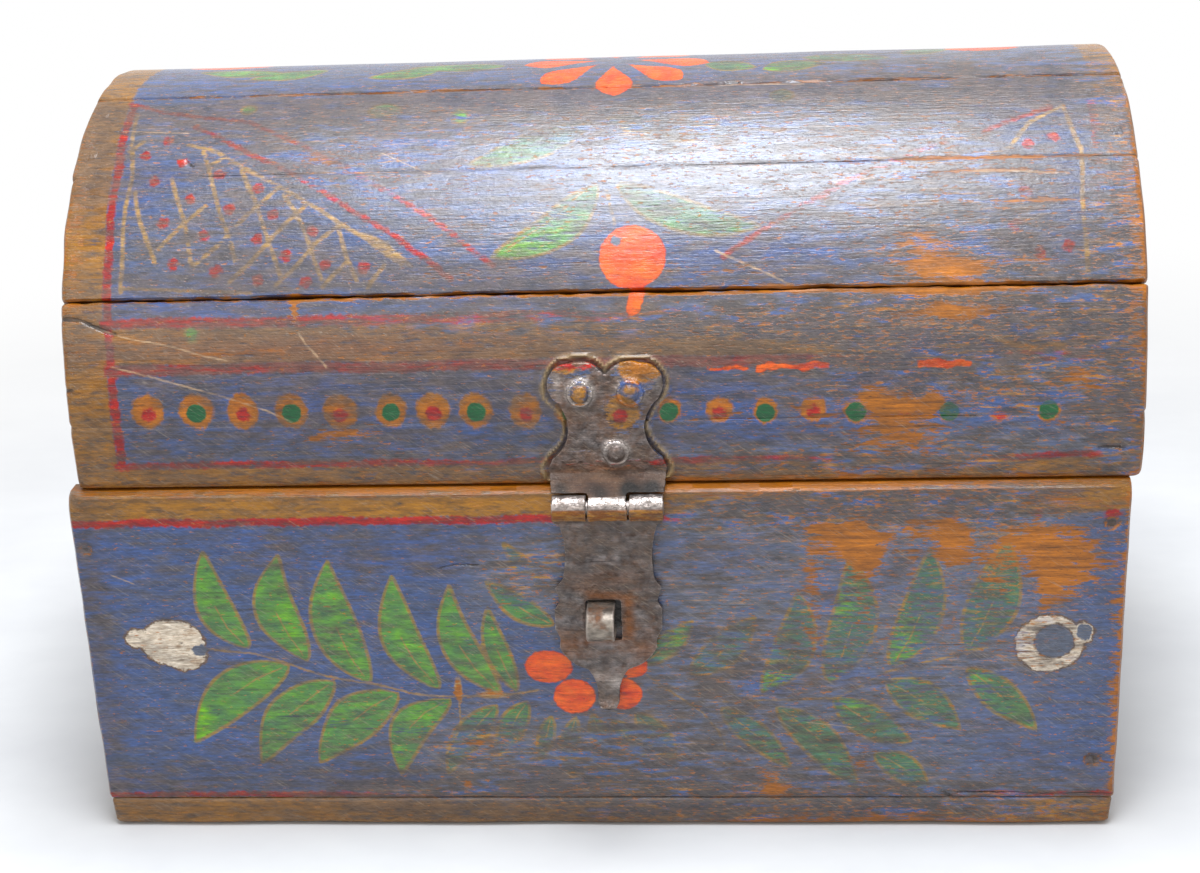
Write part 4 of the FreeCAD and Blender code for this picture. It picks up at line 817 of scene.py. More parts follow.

    # Soot, and painted shade where the grime runs highest, open pores, the pale hairlines of rubbing, dirt
    # dammed up in ridges, scratches and cracks.
    soot_and_shade = wire(tree, "MapRange", grime, 1.4, 2.2)
    pores = wire(tree, "MapRange", streaks, 0.2, 0.02, 0, 0.5)
    pits = wire(tree, "MapRange", chips, 0.13, 0.02, 0, 0.6)
    pores = wire(tree, "MAXIMUM", pores, pits)
    hairline = wire(tree, "MapRange", rubbing, 0.70, 1.0, 0, 0.5)
    cracked = wire(tree, "MULTIPLY", hairs["crack"], summed(tree, 0.4, (smudges, 0.6)))
    scratched = summed(tree, 0.1, (flecks, 0.7))
    colour = layered(tree, colour, (soot_and_shade, "#1C1815"), (pores, "#2C2624"), (hairline, smudges, "#8E8478"))
    if not iron:
        colour = layered(tree, colour, (ridge, "#94805F"))
    colour = layered(tree, colour, (hairs["scratch"], scratched, "#AE9478"), (cracked, "#241C18"))
    tone = summed(tree, 0.34, (fine, 0.50), (flecks, 0.34), (streaks, 0.22), (rubbing, 0.12))
    colour = wire(tree, "VectorMath", colour, tone, operation="SCALE")
    colour = wire(tree, "HueSaturation", {"Color": colour, "Saturation": 1.14, "Value": 0.98})

    # Wax evens the gloss, and bare wood is duller. Paint, grain and hairlines give the relief.
    gloss = summed(tree, 0.30 if iron else 0.15, (fine, 0.10), (dirt_and_shade, 0.12))
    relief = summed(tree, 0, (bare, -0.06), (streaks, 0.02 if iron else 0.06), (fine, 0.04),
                    (rubbing, -0.015), (cracked, -0.3))
    if iron:
        gloss = summed(tree, gloss, (rub_and_highlight, -0.14), (ridge, 0.35))
        relief = summed(tree, relief, (lumps, 0.42), (wavering, 0.2))
    else:
        gloss = summed(tree, gloss, (bare, 0.22), (ridge, 0.3))
        relief = summed(tree, relief, (wavering, 0.05), (flecks, 0.05))
    bumps = wire(tree, "Bump", {"Height": relief, "Distance": MM, "Strength": 0.8})
    sockets = {"Base Color": colour, "Roughness": gloss, "Normal": bumps}
    if iron:
        dull = wire(tree, "MAXIMUM", dirt_and_shade, ridge)
        sockets["Metallic"] = wire(tree, "MULTIPLY", bare, summed(tree, 0.8, (dull, -0.65)))
    else:
        sockets["IOR"] = 1.5
    wire(tree, "OutputMaterial", wire(tree, "BsdfPrincipled", sockets), out=None)
    return material


along_x = painted("waxed_oil_paint_on_long_boards", 0)
along_y = painted("waxed_oil_paint_on_end_boards", 1)
on_iron = painted("worn_oil_paint_on_wrought_iron", 0, iron=True)
print("painted finish", len(along_x.node_tree.nodes), "nodes")

# %% [markdown]
# ## Long boards with a fine skin
# A cube scaled to size would be a board too, but it has nothing between its corners to
# wear or dent. So each board starts as a grid that lies on the outer face, is
# extruded back to the board's thickness, and has its hidden side dissolved to one
# face. Points near a rim then sink along a quarter circle, which is what years of
# rubbing do to an arris.

# %% Board helpers
FACES = {  # the way along each face, the way up, and the way out
    "front": ((1, 0, 0), (0, 0, 1), (0, -1, 0)), "back": ((-1, 0, 0), (0, 0, 1), (0, 1, 0)),
    "left": ((0, -1, 0), (0, 0, 1), (-1, 0, 0)), "right": ((0, 1, 0), (0, 0, 1), (1, 0, 0))}
AT_FACE = 0.01  # mm under the outer face up to which a point belongs to the skin
FINE, COARSE = 0.75 * MM, 1.5 * MM  # the skin's cells where the photograph looks, and elsewhere


def grid_sheet(name, middle, turn, wide, tall, cell, depth, cuts=()):
    """A grid at its place, trimmed by cuts (place, way out), extruded back, with one plain hidden face."""
    bpy.ops.object.select_all(action="DESELECT")
    columns, rows = round(wide / cell), max(2, round(tall / cell))
    bpy.ops.mesh.primitive_grid_add(x_subdivisions=columns, y_subdivisions=rows, size=1, location=middle,
                                    rotation=turn.to_euler())
    sheet = bpy.context.object
    sheet.name = sheet.data.name = name
    sheet.scale = (wide, tall, 1)
    bpy.ops.object.transform_apply(location=True, rotation=True, scale=True)
    bpy.ops.object.mode_set(mode="EDIT")
    for place, away in cuts:
        bpy.ops.mesh.select_all(action="SELECT")
        bpy.ops.mesh.bisect(plane_co=place, plane_no=away, clear_outer=True)
    bpy.ops.mesh.select_all(action="SELECT")
    inward = -(turn @ Vector((0, 0, 1))) * depth
    bpy.ops.mesh.extrude_region_move(TRANSFORM_OT_translate={"value": tuple(inward)})
    bpy.ops.mesh.dissolve_faces()
    bpy.ops.mesh.select_all(action="SELECT")
    bpy.ops.mesh.normals_make_consistent(inside=False)
    bpy.ops.object.mode_set(mode="OBJECT")
    return sheet


def points(piece):
    """The piece's points in mm."""
    flat = np.empty(len(piece.data.vertices) * 3)
    piece.data.vertices.foreach_get("co", flat)
    return flat.reshape(-1, 3) / MM


def place_points(piece, spots):
    """Writes points in mm back, kept inside the box of the whole CAD model."""
    spots = np.clip(spots, np.array(cad_box[0]) / MM, np.array(cad_box[1]) / MM)
    piece.data.vertices.foreach_set("co", (spots * MM).astype(np.float32).ravel())
    piece.data.update()


def score(fields):
    """How far a crack opens the skin, in mm."""
    near = np.exp(-(fields["crack"] * 0.4) ** 2 / 0.5)
    return 0.4 * near * np.clip(fields["crack_reach"], 0, 1)


def worn_arris(from_rim, radius):
    """How far a point sinks when the arris beside it is rounded to radius."""
    inside = np.clip(from_rim / radius, 0, 1)
    return radius * (1 - np.sqrt(np.clip(1 - (1 - inside) ** 2, 0, 1)))


def select_only(piece):
    """Selects one object and makes it the active one."""
    bpy.ops.object.select_all(action="DESELECT")
    piece.select_set(True)
    bpy.context.view_layer.objects.active = piece


def finish_piece(piece, material, body, slot, *nodes, angle=38):
    """Smooth faces, one material, the body, and the CAD nodes that it stands for, which are hidden. slot is
    not used.
    """
    piece.data.materials.clear()
    piece.data.materials.append(material)
    select_only(piece)
    bpy.ops.object.shade_smooth_by_angle(angle=math.radians(angle))
    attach(piece, body)
    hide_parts(*nodes)


def finish_board(board, spots, fields, rim, skin, material, body, slot, node):
    """A board with its points placed, and its coats on the skin only."""
    place_points(board, spots)
    lay_coats(board, {**fields, "rim": np.where(skin, rim, 0), "coat": np.where(skin, 1.0, 0.0)})
    finish_piece(board, material, body, slot, node)
    return board


print("faces", list(FACES))

# %% The four walls
def wall(node, face, cell, pattern, material, slot, seed, dimples=()):
    """One wall of the base from its CAD node's box. Dimples are where a nail head drew in or rusted away."""
    low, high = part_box(node)
    along, up, out = (Vector(axis) for axis in FACES[face])
    wide, tall, depth = (abs((high - low).dot(axis)) for axis in (along, up, out))
    middle = (low + high) / 2
    outer = middle + out * depth / 2
    turn = Matrix((along, up, out)).transposed()
    board = grid_sheet(node + "_painted", outer, turn, wide, tall, cell, depth)
    spots = points(board)
    u, v = spots @ np.array(along), spots @ np.array(up)
    skin = np.array(outer) @ np.array(out) / MM - spots @ np.array(out) < AT_FACE
    side = wide / 2 / MM - np.abs(u - float(middle.dot(along)) / MM)
    head, foot = high.z / MM - v, v - low.z / MM
    fields = pattern(u, v)
    drop = worn_arris(side, 1.3 + 0.5 * ripple(u, v, 9, seed)) + worn_arris(foot, 0.35) + score(fields)
    drop = drop + worn_arris(head, 1.2 + 0.4 * ripple(u, v, 12, seed + 1))
    # The upper corners are knocked in, the face is uneven, and its grain stands proud.
    drop = drop + np.clip(1 - np.hypot(side, head) / 5, 0, 1) ** 2 * 2.2
    drop = drop + 0.12 * (1 + ripple(u, v, 30, seed + 2)) + 0.035 * (1 + ripple(u * 0.15, v, 2.5, seed + 3))
    for a, b, across, deep in dimples:
        away = np.hypot(u - a, v - b)
        near = hump(away, across)
        drop = drop + deep * near
        fields["grime"] = fields["grime"] + 1.2 * near
        fields["wear"] = fields["wear"] + 0.42 * hump(away - across, 0.5)
    spots = spots - np.outer(np.where(skin, drop, 0), out)
    rim = np.minimum(side, head + 0.9)
    return finish_board(board, spots, fields, rim, skin, material, "base", slot, node)


SUNK_NAILS = [(145, 97, 1.7, 1.3), (143, 22, 2.2, 1.4), (-146.5, 92, 1.6, 0.7)]  # x, z, across, deep
walls = [
    wall("front_board", "front", FINE, front_pattern, along_x, "painted_walls", 50, SUNK_NAILS),
    wall("back_board", "back", COARSE, plain_pattern, along_x, "painted_walls", 60),
    wall("left_end_board", "left", COARSE, plain_pattern, along_y, "painted_end_boards", 70),
    wall("right_end_board", "right", COARSE, plain_pattern, along_y, "painted_end_boards", 80)]
print("walls", [len(board.data.polygons) for board in walls])

# %% [markdown]
# ## The bottom board
# One board is nailed on from below, and its edge shows all round as the lowest ochre
# band. A bevelled block suits it, cut into short lengths so that its lower arris can
# wave like a thing that is pushed about on a table.

# %% Bottom board
low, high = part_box("bottom_board")
bpy.ops.object.select_all(action="DESELECT")
bpy.ops.mesh.primitive_cube_add(size=1, location=(low + high) / 2)
bottom = bpy.context.object
bottom.name = bottom.data.name = "bottom_board_painted"
bottom.scale = high - low
bpy.ops.object.transform_apply(location=True, rotation=True, scale=True)
bpy.ops.object.mode_set(mode="EDIT")
bpy.ops.mesh.select_all(action="SELECT")
bpy.ops.mesh.bevel(offset=1.6 * MM, segments=3, affect="EDGES")
bpy.ops.object.mode_set(mode="OBJECT")
for axis, cuts in ((0, 149), (1, 85)):  # along x and y, into lengths of 2 mm
    bpy.ops.object.mode_set(mode="EDIT")
    bpy.ops.mesh.select_all(action="DESELECT")
    bpy.ops.object.mode_set(mode="OBJECT")
    ends = points(bottom)
    for edge in bottom.data.edges:
        a, b = (ends[i] for i in edge.vertices)
        edge.select = bool(abs(a[axis] - b[axis]) > 100)
    bpy.context.tool_settings.mesh_select_mode = (False, True, False)
    bpy.ops.object.mode_set(mode="EDIT")
    bpy.ops.mesh.subdivide(number_cuts=cuts)
    bpy.ops.object.mode_set(mode="OBJECT")
spots = points(bottom)
x, y, z = spots.T
middle, half = np.array((low + high) / 2) / MM, np.array((high - low) / 2) / MM
side, end = half[1] - np.abs(y - middle[1]), half[0] - np.abs(x - middle[0])
pushed = np.clip(1 - z / 4, 0, 1) ** 2 * (1.2 + 0.8 * ripple(x + 1.3 * y, z * 0, 30, 91))
inward = 0.25 * (1 + ripple(x + y, z, 26, 90)) + pushed
spots[:, 0] -= np.sign(x - middle[0]) * np.where(end < 2, inward, 0)
spots[:, 1] -= np.sign(y - middle[1]) * np.where(side < 2, inward, 0)
fields = front_pattern(x, np.minimum(z, 9.0))
for name in ("wear", "fade"):
    fields[name] = np.where(y < 0, fields[name], 0.3)
hidden = (z < 0.8) | ((z > 9) & (np.minimum(end, side) > 3))
place_points(bottom, spots)
fields.update(ochre=4.0, red=NOWHERE, crack_reach=NO_LINE, rim=np.clip(z, 0, 9) + 0.6,
              coat=np.where(hidden, 0.0, 1.0))
lay_coats(bottom, fields)
finish_piece(bottom, along_x, "base", "painted_bottom", "bottom_board")
print("bottom board", len(bottom.data.polygons), "faces")

# %% [markdown]
# ## Staves of the dome
# Each stave is a flat grid on the unrolled lid, extruded by its thickness, then bent
# over the arch in code: a point keeps its x and goes to the place on the arch that its
# s names. The inner side stays a flat chord, as a stave that was only planed outside.
# Seams between staves open and close a little along their length.

# %% Stave helpers
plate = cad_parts["hasp_plate"].data
plate_tree = BVHTree.FromPolygons([v.co for v in plate.vertices], [p.vertices for p in plate.polygons])
PLATE_X, PLATE_TOP = 5, 60  # the plate's middle along x, and an s that it doesn't reach
FAR_OFF = 99.0  # mm: stands for every gap beyond the plate's neighbourhood
GAPING = 0.3  # mm: a seam that stands open further than this has a rounder lip


def beside_plate(spots):
    """How far each point lies from the hasp's plate, in mm, where it is near."""
    x, y, z = spots.T
    gap = np.full(len(spots), FAR_OFF)
    for i in np.flatnonzero((np.abs(x - PLATE_X) < 24) & (y < -70) & (z < 155)):
        gap[i] = plate_tree.find_nearest(Vector(spots[i]) * MM)[3] / MM
    return gap


def on_dome(s, depth):
    """y and z of a point s mm up over the dome and depth mm under its skin."""
    angle = np.clip((s - SPRING) / ARCH_R, 0, math.pi)
    below, past = np.minimum(s - SPRING, 0), np.maximum(s - SPRING - ARC_LENGTH, 0)
    radius = ARCH_R - depth
    return ARCH_Y - radius * np.cos(angle), ARCH_Z + radius * np.sin(angle) + below - past


def opening(u, gap, seed):
    """How far a seam that may open by gap mm stands open along its length."""
    uneven = 0.5 * ripple(u, u * 0, 16, seed) + 0.22 * ripple(u, u * 0, 2.6, seed + 10)
    return gap * np.clip(0.55 + uneven + 0.25 * ripple(u, u * 0, 6, seed + 12), 0.05, 1.5)


def stave(node, s_low, s_high, cell, seed, gaps):
    """A stave or rail from s_low to s_high. gaps are how far its lower and upper seams may stand open."""
    low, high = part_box(node)
    wide, tall = high.x - low.x, (s_high - s_low) * MM
    place = Vector(((low.x + high.x) / 2, (s_low + s_high) / 2 * MM, 0))
    board = grid_sheet(node + "_painted", place, Matrix.Identity(3), wide, tall, cell, THICK * MM)
    x, s, depth = points(board).T * np.array([[1], [1], [-1]])
    u, skin = x - LID_MIDDLE, depth < AT_FACE
    side = wide / 2 / MM - np.abs(x - (low.x + high.x) / 2 / MM)
    to_low, to_high = s - s_low, s_high - s
    fields = lid_pattern(u, s)
    lip_low, lip_high = (0.5 if gap > GAPING else 0.14 for gap in gaps)
    lower_round = 1.2 if s_low == 0 else lip_low * (1.5 + 0.5 * ripple(u, s * 0, 9, seed + 1))
    end_round = 3.2 if s_low == 0 or s_high == WHOLE_WAY else 1.6
    upper_round = lip_high * (1.5 + 0.5 * ripple(u, s * 0, 7, seed + 2))
    drop = worn_arris(side, 1.5 + 0.6 * ripple(u, s, 8, seed)) + score(fields)
    drop = drop + worn_arris(to_low, lower_round) + worn_arris(to_high, upper_round)
    drop = drop + 0.12 * (1 + ripple(u, s, 28, seed + 3)) + 0.03 * (1 + ripple(u * 0.12, s, 2.3, seed + 4))
    drop = drop + np.clip(1 - np.hypot(side, np.minimum(to_low, to_high)) / end_round, 0, 1) ** 2 * 1.2
    # Its seams open and close, and its back lies on a chord.
    s_moved = s + opening(u, gaps[0], seed + 5) * np.clip(1 - to_low / 1.5, 0, 1)
    s_moved = s_moved - opening(u, gaps[1], seed + 6) * np.clip(1 - to_high / 1.5, 0, 1)
    (y0, z0), (y1, z1) = on_dome(np.array(s_low), THICK), on_dome(np.array(s_high), THICK)
    share = np.clip((s_moved - s_low) / (s_high - s_low), 0, 1)

    def bent(drop):
        """Every point's place: on the dome, or on the chord behind it."""
        y, z = on_dome(s_moved, drop)
        y, z = np.where(skin, y, y0 + (y1 - y0) * share), np.where(skin, z, z0 + (z1 - z0) * share)
        return np.stack([x, y, z], axis=1)

    if s_high < PLATE_TOP:  # old paint and dirt stand in a ridge round the plate
        gap = beside_plate(bent(drop))
        off_plate, half = 1.1 + 0.6 * ripple(u, s, 7, seed + 8), 0.5 + 0.15 * ripple(u, s, 5, seed + 9)
        ridge = hump(gap - off_plate, half) * skin
        drop = drop - 0.9 * ridge
        fields["ridge"] = 0.8 * ridge
        # The wood is darker right at the plate's edge and just outside the ridge.
        fields["grime"] = fields["grime"] + 0.5 * hump(gap, 0.5) + 0.3 * hump(gap - 3, 0.8)
    rim_low = 0 if s_low == 0 else 0.3 if gaps[0] > GAPING else 1.5
    rim_high = 0.3 if gaps[1] > GAPING else 1.5
    rim = np.minimum(side, np.minimum(to_low + rim_low, to_high + rim_high))
    return finish_board(board, bent(drop), fields, rim, skin, along_x, "lid", "painted_staves", node)


# %% Rails, staves and crown
STAVES = (
    "lid_front_rail", "front_lower_stave", "front_middle_stave", "front_upper_stave", "crown_stave",
    "back_upper_stave", "back_middle_stave", "back_lower_stave", "lid_back_rail")
SEAM_SHARES = (0, 0.137, 0.28, 0.414, 0.586, 0.72, 0.863, 1)  # of the arc, from its front to its back
SEAMS = [0, *[SPRING + ARC_LENGTH * share for share in SEAM_SHARES], WHOLE_WAY]
OPEN = [0, 0.02, 0.55, 0.03, 0.35, 0.03, 0.4, 0.1, 0.03, 0]  # mm that each seam stands open on one side
staves = [stave(node, SEAMS[i], SEAMS[i + 1], FINE if i < 5 else COARSE, 100 + 10 * i, OPEN[i:i + 2])
          for i, node in enumerate(STAVES)]
print("staves", [len(board.data.polygons) for board in staves])

# %% [markdown]
# ## Arched ends of the lid
# The two ends are boards sawn to a faceted arch, so that each flat-backed stave lies on
# its own facet. A grid is trimmed with one bisect per facet, and then extruded to the
# board's thickness.

# %% Lid ends
def lid_end(node, face, seed):
    """An arched end, with a facet under each stave."""
    low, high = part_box(node)
    along, up, out = (Vector(axis) for axis in FACES[face])
    wide, tall, depth = (abs((high - low).dot(axis)) for axis in (along, up, out))
    outer = (low + high) / 2 + out * depth / 2
    cuts = []
    for s0, s1 in zip(SEAMS[1:-2], SEAMS[2:-1]):
        (y0, z0), (y1, z1) = on_dome(np.array(s0), THICK + 0.05), on_dome(np.array(s1), THICK + 0.05)
        away = Vector((0, (y0 + y1) / 2 - ARCH_Y, (z0 + z1) / 2 - ARCH_Z)).normalized()
        cuts.append(((0, y0 * MM, z0 * MM), away))
    turn = Matrix((along, up, out)).transposed()
    board = grid_sheet(node + "_painted", outer, turn, wide, tall, COARSE, depth, cuts)
    spots = points(board)
    y, z = spots[:, 1], spots[:, 2]
    skin = np.array(outer) @ np.array(out) / MM - spots @ np.array(out) < AT_FACE
    foot = z - low.z / MM
    drop = worn_arris(foot, 0.9) + 0.15 * (1 + ripple(y, z, 26, seed))
    drop = drop + 0.03 * (1 + ripple(y * 0.15, z, 2.4, seed + 1))
    rim = np.minimum(foot, ARCH_R - THICK - np.hypot(y - ARCH_Y, np.maximum(z - ARCH_Z, 0)) + 1.0)
    spots = spots - np.outer(np.where(skin, drop, 0), out)
    fields = arch_pattern(y, z)
    return finish_board(board, spots, fields, rim, skin, along_y, "lid", "painted_end_boards", node)


lid_ends = [lid_end("lid_left_end", "left", 210), lid_end("lid_right_end", "right", 220)]
print("lid ends", [len(board.data.polygons) for board in lid_ends])

# %% [markdown]
# ## Forged iron
# Hasp, plate, staple and rivets are wrought iron: hammered flat, filed, browned by
# rust and rubbed bright on the high places, which are also painted lighter as a
# highlight. It is a metal with its default IOR, mostly rough, with rust as a dull coat
# that isn't metal. Hammer marks are 2 to 7 mm wide and belong to the shape, pits of
# 0.9 mm to the material.

# %% Iron materials
def forged_iron(name, dark, bright, rust_share):
    """Wrought iron: browned, pitted, bright where it is rubbed, and painted lighter on proud edges as a
    highlight.
    """
    material, tree, place = new_material(name)
    pits = mottling(tree, place, (0.9, 0.9, 0.9), 11.0, 4.0, 0.2)
    bloom = mottling(tree, place, (6, 6, 4), 12.0, 5.0, 0.16)
    smears = mottling(tree, place, (3.0, 3.0, 1.2), 13.0, 4.0, 0.18)
    # Proud edges rust less and are painted lighter as a highlight.
    rubbed_edge_and_highlight = wire(tree, "MapRange", wire(tree, "NewGeometry", out="Pointiness"), 0.51, 0.56)
    rusting = wire(tree, "MapRange", bloom, 1 - rust_share - 0.2, 1 - rust_share + 0.3)
    rusting = wire(tree, "MULTIPLY", rusting, summed(tree, 1.0, (rubbed_edge_and_highlight, -1.0)))
    rusty = layered(tree, "#4A3628", (pits, "#7A5236"))
    bumps = {"Height": summed(tree, 0, (pits, 0.05), (smears, 0.05)), "Distance": MM, "Strength": 0.9}
    skin = wire(tree, "BsdfPrincipled", {
        "Base Color": layered(tree, dark, (smears, bright), (rusting, rusty), (rubbed_edge_and_highlight, 0.6, "#B4A8A0")),
        "Metallic": wire(tree, "MapRange", rusting, 0, 1, 0.75, 0.15),
        "Roughness": summed(tree, 0.42, (pits, 0.18), (rusting, 0.25)),
        "Normal": wire(tree, "Bump", bumps)})
    wire(tree, "OutputMaterial", skin, out=None)
    return material


hasp_iron = forged_iron("browned_wrought_iron", "#403936", "#6C635E", 0.5)
staple_iron = forged_iron("rubbed_wrought_iron", "#5A534C", "#968C80", 0.3)
nail_iron = forged_iron("rusted_nail_iron", "#3E3634", "#5E544E", 0.6)
print("iron", len(hasp_iron.node_tree.nodes), "nodes")

# %% [markdown]
# ## Hasp, plate, staple and rivets
# Their outlines are right in the CAD model, but forged iron has no flat face and no
# sharp arris. A merged copy of each is remeshed to a fine even skin, smoothed a touch,
# and then hammered: points move along their normals by a tenth of a millimetre.

# %% Forged pieces
def forge(node, body, voxel, dents, iron, seed, smooth=4, paint=None, slot="forged_iron"):
    """A hammered piece made from a merged copy of a CAD node. paint gives its coats and moves its points."""
    piece = bpy.data.objects.new(node + "_forged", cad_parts[node].data.copy())
    bpy.context.scene.collection.objects.link(piece)
    select_only(piece)
    bpy.ops.object.mode_set(mode="EDIT")
    bpy.ops.mesh.select_all(action="SELECT")
    bpy.ops.mesh.remove_doubles(threshold=0.00001)
    bpy.ops.mesh.normals_make_consistent(inside=False)
    bpy.ops.object.mode_set(mode="OBJECT")
    remesh = piece.modifiers.new("even_skin", "REMESH")
    remesh.mode, remesh.voxel_size = "VOXEL", voxel * MM
    bpy.ops.object.modifier_apply(modifier=remesh.name)
    soften = piece.modifiers.new("worn", "SMOOTH")
    soften.factor, soften.iterations = 0.5, smooth
    bpy.ops.object.modifier_apply(modifier=soften.name)
    spots = points(piece)
    normals = np.empty(len(spots) * 3)
    piece.data.vertices.foreach_get("normal", normals)
    x, y, z = spots.T
    hammered = dents * (0.7 * ripple(x + y, z, 5, seed) + 0.3 * ripple(x, z + y, 1.8, seed + 1) - 0.5)
    spots = spots + normals.reshape(-1, 3) * hammered[:, None]
    if paint:
        fields, spots = paint(*spots.T, spots)
        lay_coats(piece, {"rim": 9.0, "coat": 1.0, **fields})
    place_points(piece, spots)
    finish_piece(piece, iron, body, slot, node, angle=50)
    return piece


# The first of these heights is the middle of the barrel's painted highlight.
BARREL_TOP, BARREL_TURN, BARREL_FOOT = 107.8, 106, 102.2  # heights on the barrel of the hasp's hinge
BARREL_Y, FRONT_Y = -88.5, -80  # the barrel, and what shows on the front, lie before these


def rub_and_highlight_knuckles(fields, knuckle, z):
    """The barrel's knuckles are rubbed bright and painted lighter as a highlight along their top, and keep
    ochre and rust in their lower turn.
    """
    bright = np.where(knuckle, np.clip(1.1 - 0.55 * np.abs(z - BARREL_TOP), 0, 1), 0)
    fields["fresh"] = fields["fresh"] + bright
    fields["wear"] = np.where(knuckle, np.where(z < BARREL_TURN, 0.5, 1.2), fields["wear"])
    fields["ochre"] = np.where(knuckle, 3.0, fields["ochre"])
    fields["ridge"] = np.where(knuckle, np.where(z < BARREL_TURN + 0.2, 1.0, 0), fields["ridge"])


RIVETS = ((-1.7, 136.7), (12.2, 136.7), (7.8, 119.2))
PLATE_HOLDS = [  # patches of x, z, half width, half height, strength, as are the two last ones below
    (15.5, 143.5, 6, 4.5, 0.9), (12.2, 136.7, 2.6, 2.6, 0.75), (-1.7, 136.7, 2.6, 2.6, 0.7),
    (10, 131, 5, 4.8, 0.78), (-4, 143.5, 7, 2.5, 0.45), (-10, 139, 1.6, 5, 0.25), (20, 117, 3, 3, 0.4),
    (5, 116, 16, 2, 0.15)]
PLATE_OCHRE = [
    (15.5, 144, 7, 4.6), (9.8, 131.5, 5, 4.6), (-1.7, 137.6, 2.2, 1.6), (12.2, 138, 2.0, 1.2),
    (-6, 144, 5, 1.6)]
# Rubbed places on the plate's lobes, painted lighter: rubbed iron and a painted highlight along the lobes'
# tops.
PLATE_RUBBED_AND_HIGHLIT = [
    (-3, 147.5, 6, 1.2, 0.8), (12, 148, 6, 1.2, 0.9), (-8, 140, 1.2, 6, 0.5), (15.5, 144, 6, 4, 0.7)]
PLATE_RUST = [(-6, 145, 7, 2, 0.6), (5, 111, 20, 4.5, 1.0), (10, 131, 7, 6, 0.3), (-8, 128, 4, 8, 0.3)]


def paint_on_plate(x, y, z, spots):
    """The lid's coats run over the plate, and hold best on its right lobe, its rivets and one dab."""
    fields = lid_pattern(x - LID_MIDDLE, dome_s(y, z))
    held = patches(x, z, PLATE_HOLDS)
    knuckle = (y < BARREL_Y) & (z < RIM_Z)
    # The plate's foot, bent out over the barrel, is darkened: dirt and painted shade.
    foot_dirt_and_shade = (1.5 + 0.8 * ripple(x, z, 4, 51)) * hump(z - 110, 2.8)
    from_rivet = np.min([np.hypot(x - a, z - b) for a, b in RIVETS], axis=0)
    collar = hump(from_rivet - 3.5, 0.8) * (y < FRONT_Y)
    # The lobes' tops and the rivets' collars are painted lighter, partly as a highlight.
    fields.update(
        wear=0.80 - held, fade=0.3 - 0.2 * held, grime=0.45 + np.where(knuckle, 0, foot_dirt_and_shade),
        ochre=np.maximum(fields["ochre"], most(x, z, dabs=PLATE_OCHRE)),
        red=np.where(blob(x, z, 15.5, 144, 7.4, 5) > 0, NOWHERE, fields["red"]), orange=NOWHERE, dot=NOWHERE,
        ridge=patches(x, z, PLATE_RUST), fresh=patches(x, z, PLATE_RUBBED_AND_HIGHLIT) + 0.9 * collar,
        scratch_reach=NO_LINE, crack_reach=NO_LINE)
    rub_and_highlight_knuckles(fields, knuckle, z)
    return fields, spots - np.outer(0.45 * collar, (0, 1, -0.2))


def paint_on_hasp(x, y, z, spots):
    """A little of the box's coats still clings to the hasp, most of it under the barrel."""
    fields = front_pattern(x, z)
    held = patches(x, z, [(5, 102, 18, 1.5, 0.42), (5, 97, 14, 2, 0.2), (-6, 86, 4, 4, 0.12)])
    from_slot = np.maximum(np.abs(x - 4.6) - 5.3, np.abs(z - 70.5) - 6.4)
    rust = patches(x, z, [(-8, 62, 5, 4, 0.4), (15, 60, 5, 4, 0.4), (4, 82, 10, 3, 0.3)])
    # The bright patch at the strap's curled tip is a painted highlight.
    fields.update(
        wear=0.88 - held, fade=0.3, grime=0.5, leaf=NOWHERE, orange=NOWHERE,
        ochre=np.maximum(fields["ochre"], blob(x, z, 5, 102.5, 16, 2)),
        ridge=0.8 * hump(from_slot, 1.6) + rust,
        fresh=patches(x, z, [(5.5, 49.5, 3, 2.2, 0.9), (0, 52, 2, 2, 0.4)]),
        scratch_reach=NO_LINE, crack_reach=NO_LINE, vein_reach=NO_LINE)
    rub_and_highlight_knuckles(fields, z > BARREL_FOOT, z)
    return fields, spots


forged = [  # node, body, voxel and dents in mm, iron, seed, smoothing and coats
    forge("hasp_strap", "hasp", 0.3, 0.26, on_iron, 300, 3, paint_on_hasp),
    forge("hasp_plate", "lid", 0.3, 0.26, on_iron, 310, 3, paint_on_plate),
    forge("hasp_staple", "base", 0.4, 0.1, staple_iron, 320),
    forge("hasp_plate_rivets", "lid", 0.3, 0.06, on_iron, 330, 2, paint_on_plate)]
print("forged", [len(piece.data.polygons) for piece in forged])

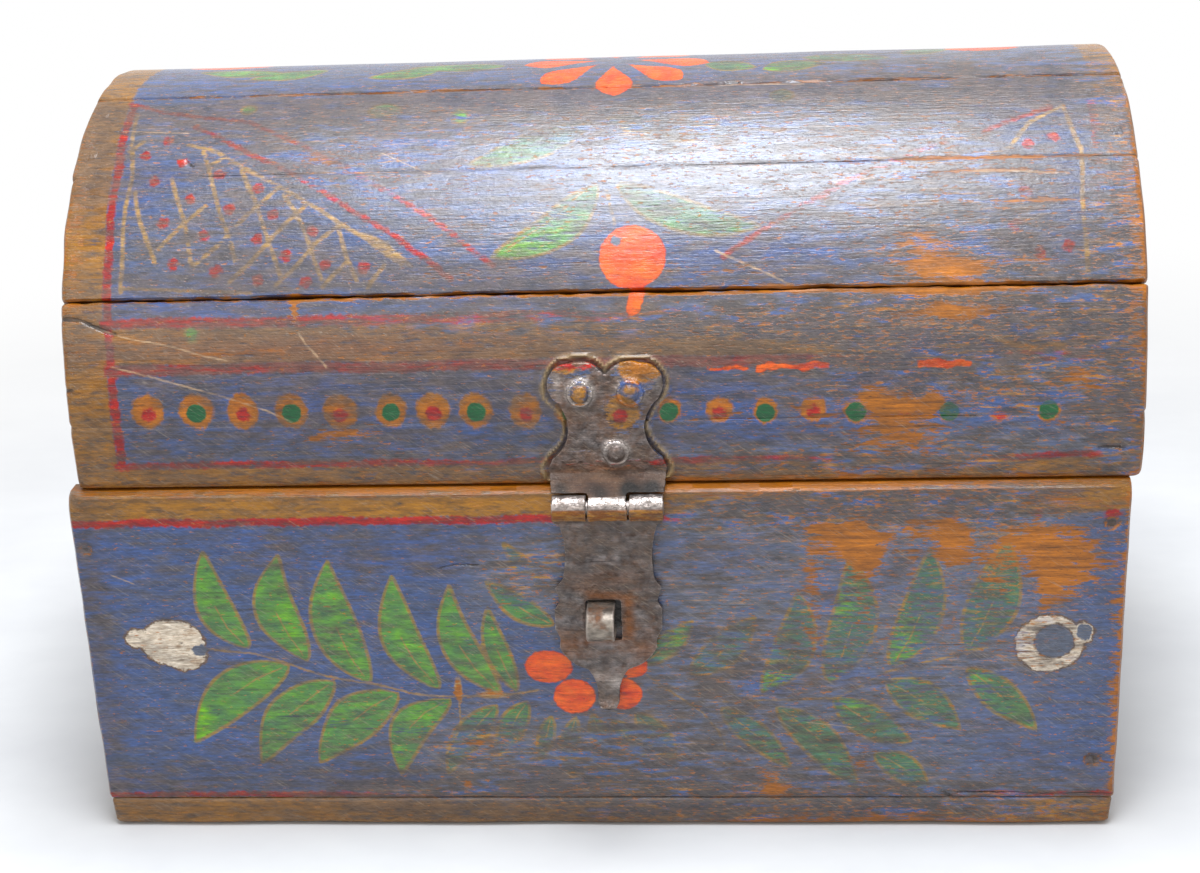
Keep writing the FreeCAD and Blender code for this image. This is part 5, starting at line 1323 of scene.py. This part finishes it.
# %% [markdown]
# ## Nails under the paint
# The box was painted after it was nailed, so the heads are low bumps under the same
# coats. A few at the corners have rusted and sunk. Each set of nails is a remeshed
# copy of its CAD node with the pattern of the board that it stands in.

# %% Nails
def paint_on_front_nails(x, y, z, spots):
    """The front's coats, with three corner nails that rusted and sank."""
    sunk = np.min([np.hypot(x - a, z - b) for a, b in ((145, 97), (145, 22), (-145, 96))], axis=0) < 4
    fields = front_pattern(x, z)
    fields["wear"] = np.where(sunk, 0.7, 0.2)
    fields["grime"] = fields["grime"] + np.where(sunk, 1.2, 0)
    return fields, spots + np.outer(np.where(sunk & (y < FRONT_Y), 0.9, 0.15), (0, 1, 0))


def paint_on_back_nails(x, y, z, spots):
    """The back's plain coats."""
    return plain_pattern(x, z), spots


def paint_on_lid_nails(x, y, z, spots):
    """The lid's coats, on heads that are let in by 0.12 mm."""
    fields = lid_pattern(x - LID_MIDDLE, dome_s(y, z))
    fields["wear"] = 0.25
    inward = np.stack([0 * x, ARCH_Y - y, np.where(z > ARCH_Z, ARCH_Z - z, 0)], axis=1)
    return fields, spots + 0.12 * inward / np.linalg.norm(inward, axis=1)[:, None]


NAILS = (
    ("front_nails", "base", 340, paint_on_front_nails), ("back_nails", "base", 350, paint_on_back_nails),
    ("lid_nails", "lid", 360, paint_on_lid_nails))
nails = [forge(node, body, 0.35, 0.05, on_iron, seed, 14, paint, "nail_iron")
         for node, body, seed, paint in NAILS]
print("nails", [len(piece.data.polygons) for piece in nails])

# %% [markdown]
# ## Pins, nails and rear hinges
# These keep their CAD shape, and take the iron finishes.

# %% Iron that stays as it is
kept = {name: node for name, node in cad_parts.items() if not node.hide_render}
for name, node in kept.items():
    node.data.materials.clear()
    node.data.materials.append(nail_iron if "nail" in name else hasp_iron)
print("carried over", list(kept))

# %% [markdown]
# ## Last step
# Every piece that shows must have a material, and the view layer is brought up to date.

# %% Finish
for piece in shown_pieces():
    assert piece.data.materials and piece.data.materials[0], piece.name
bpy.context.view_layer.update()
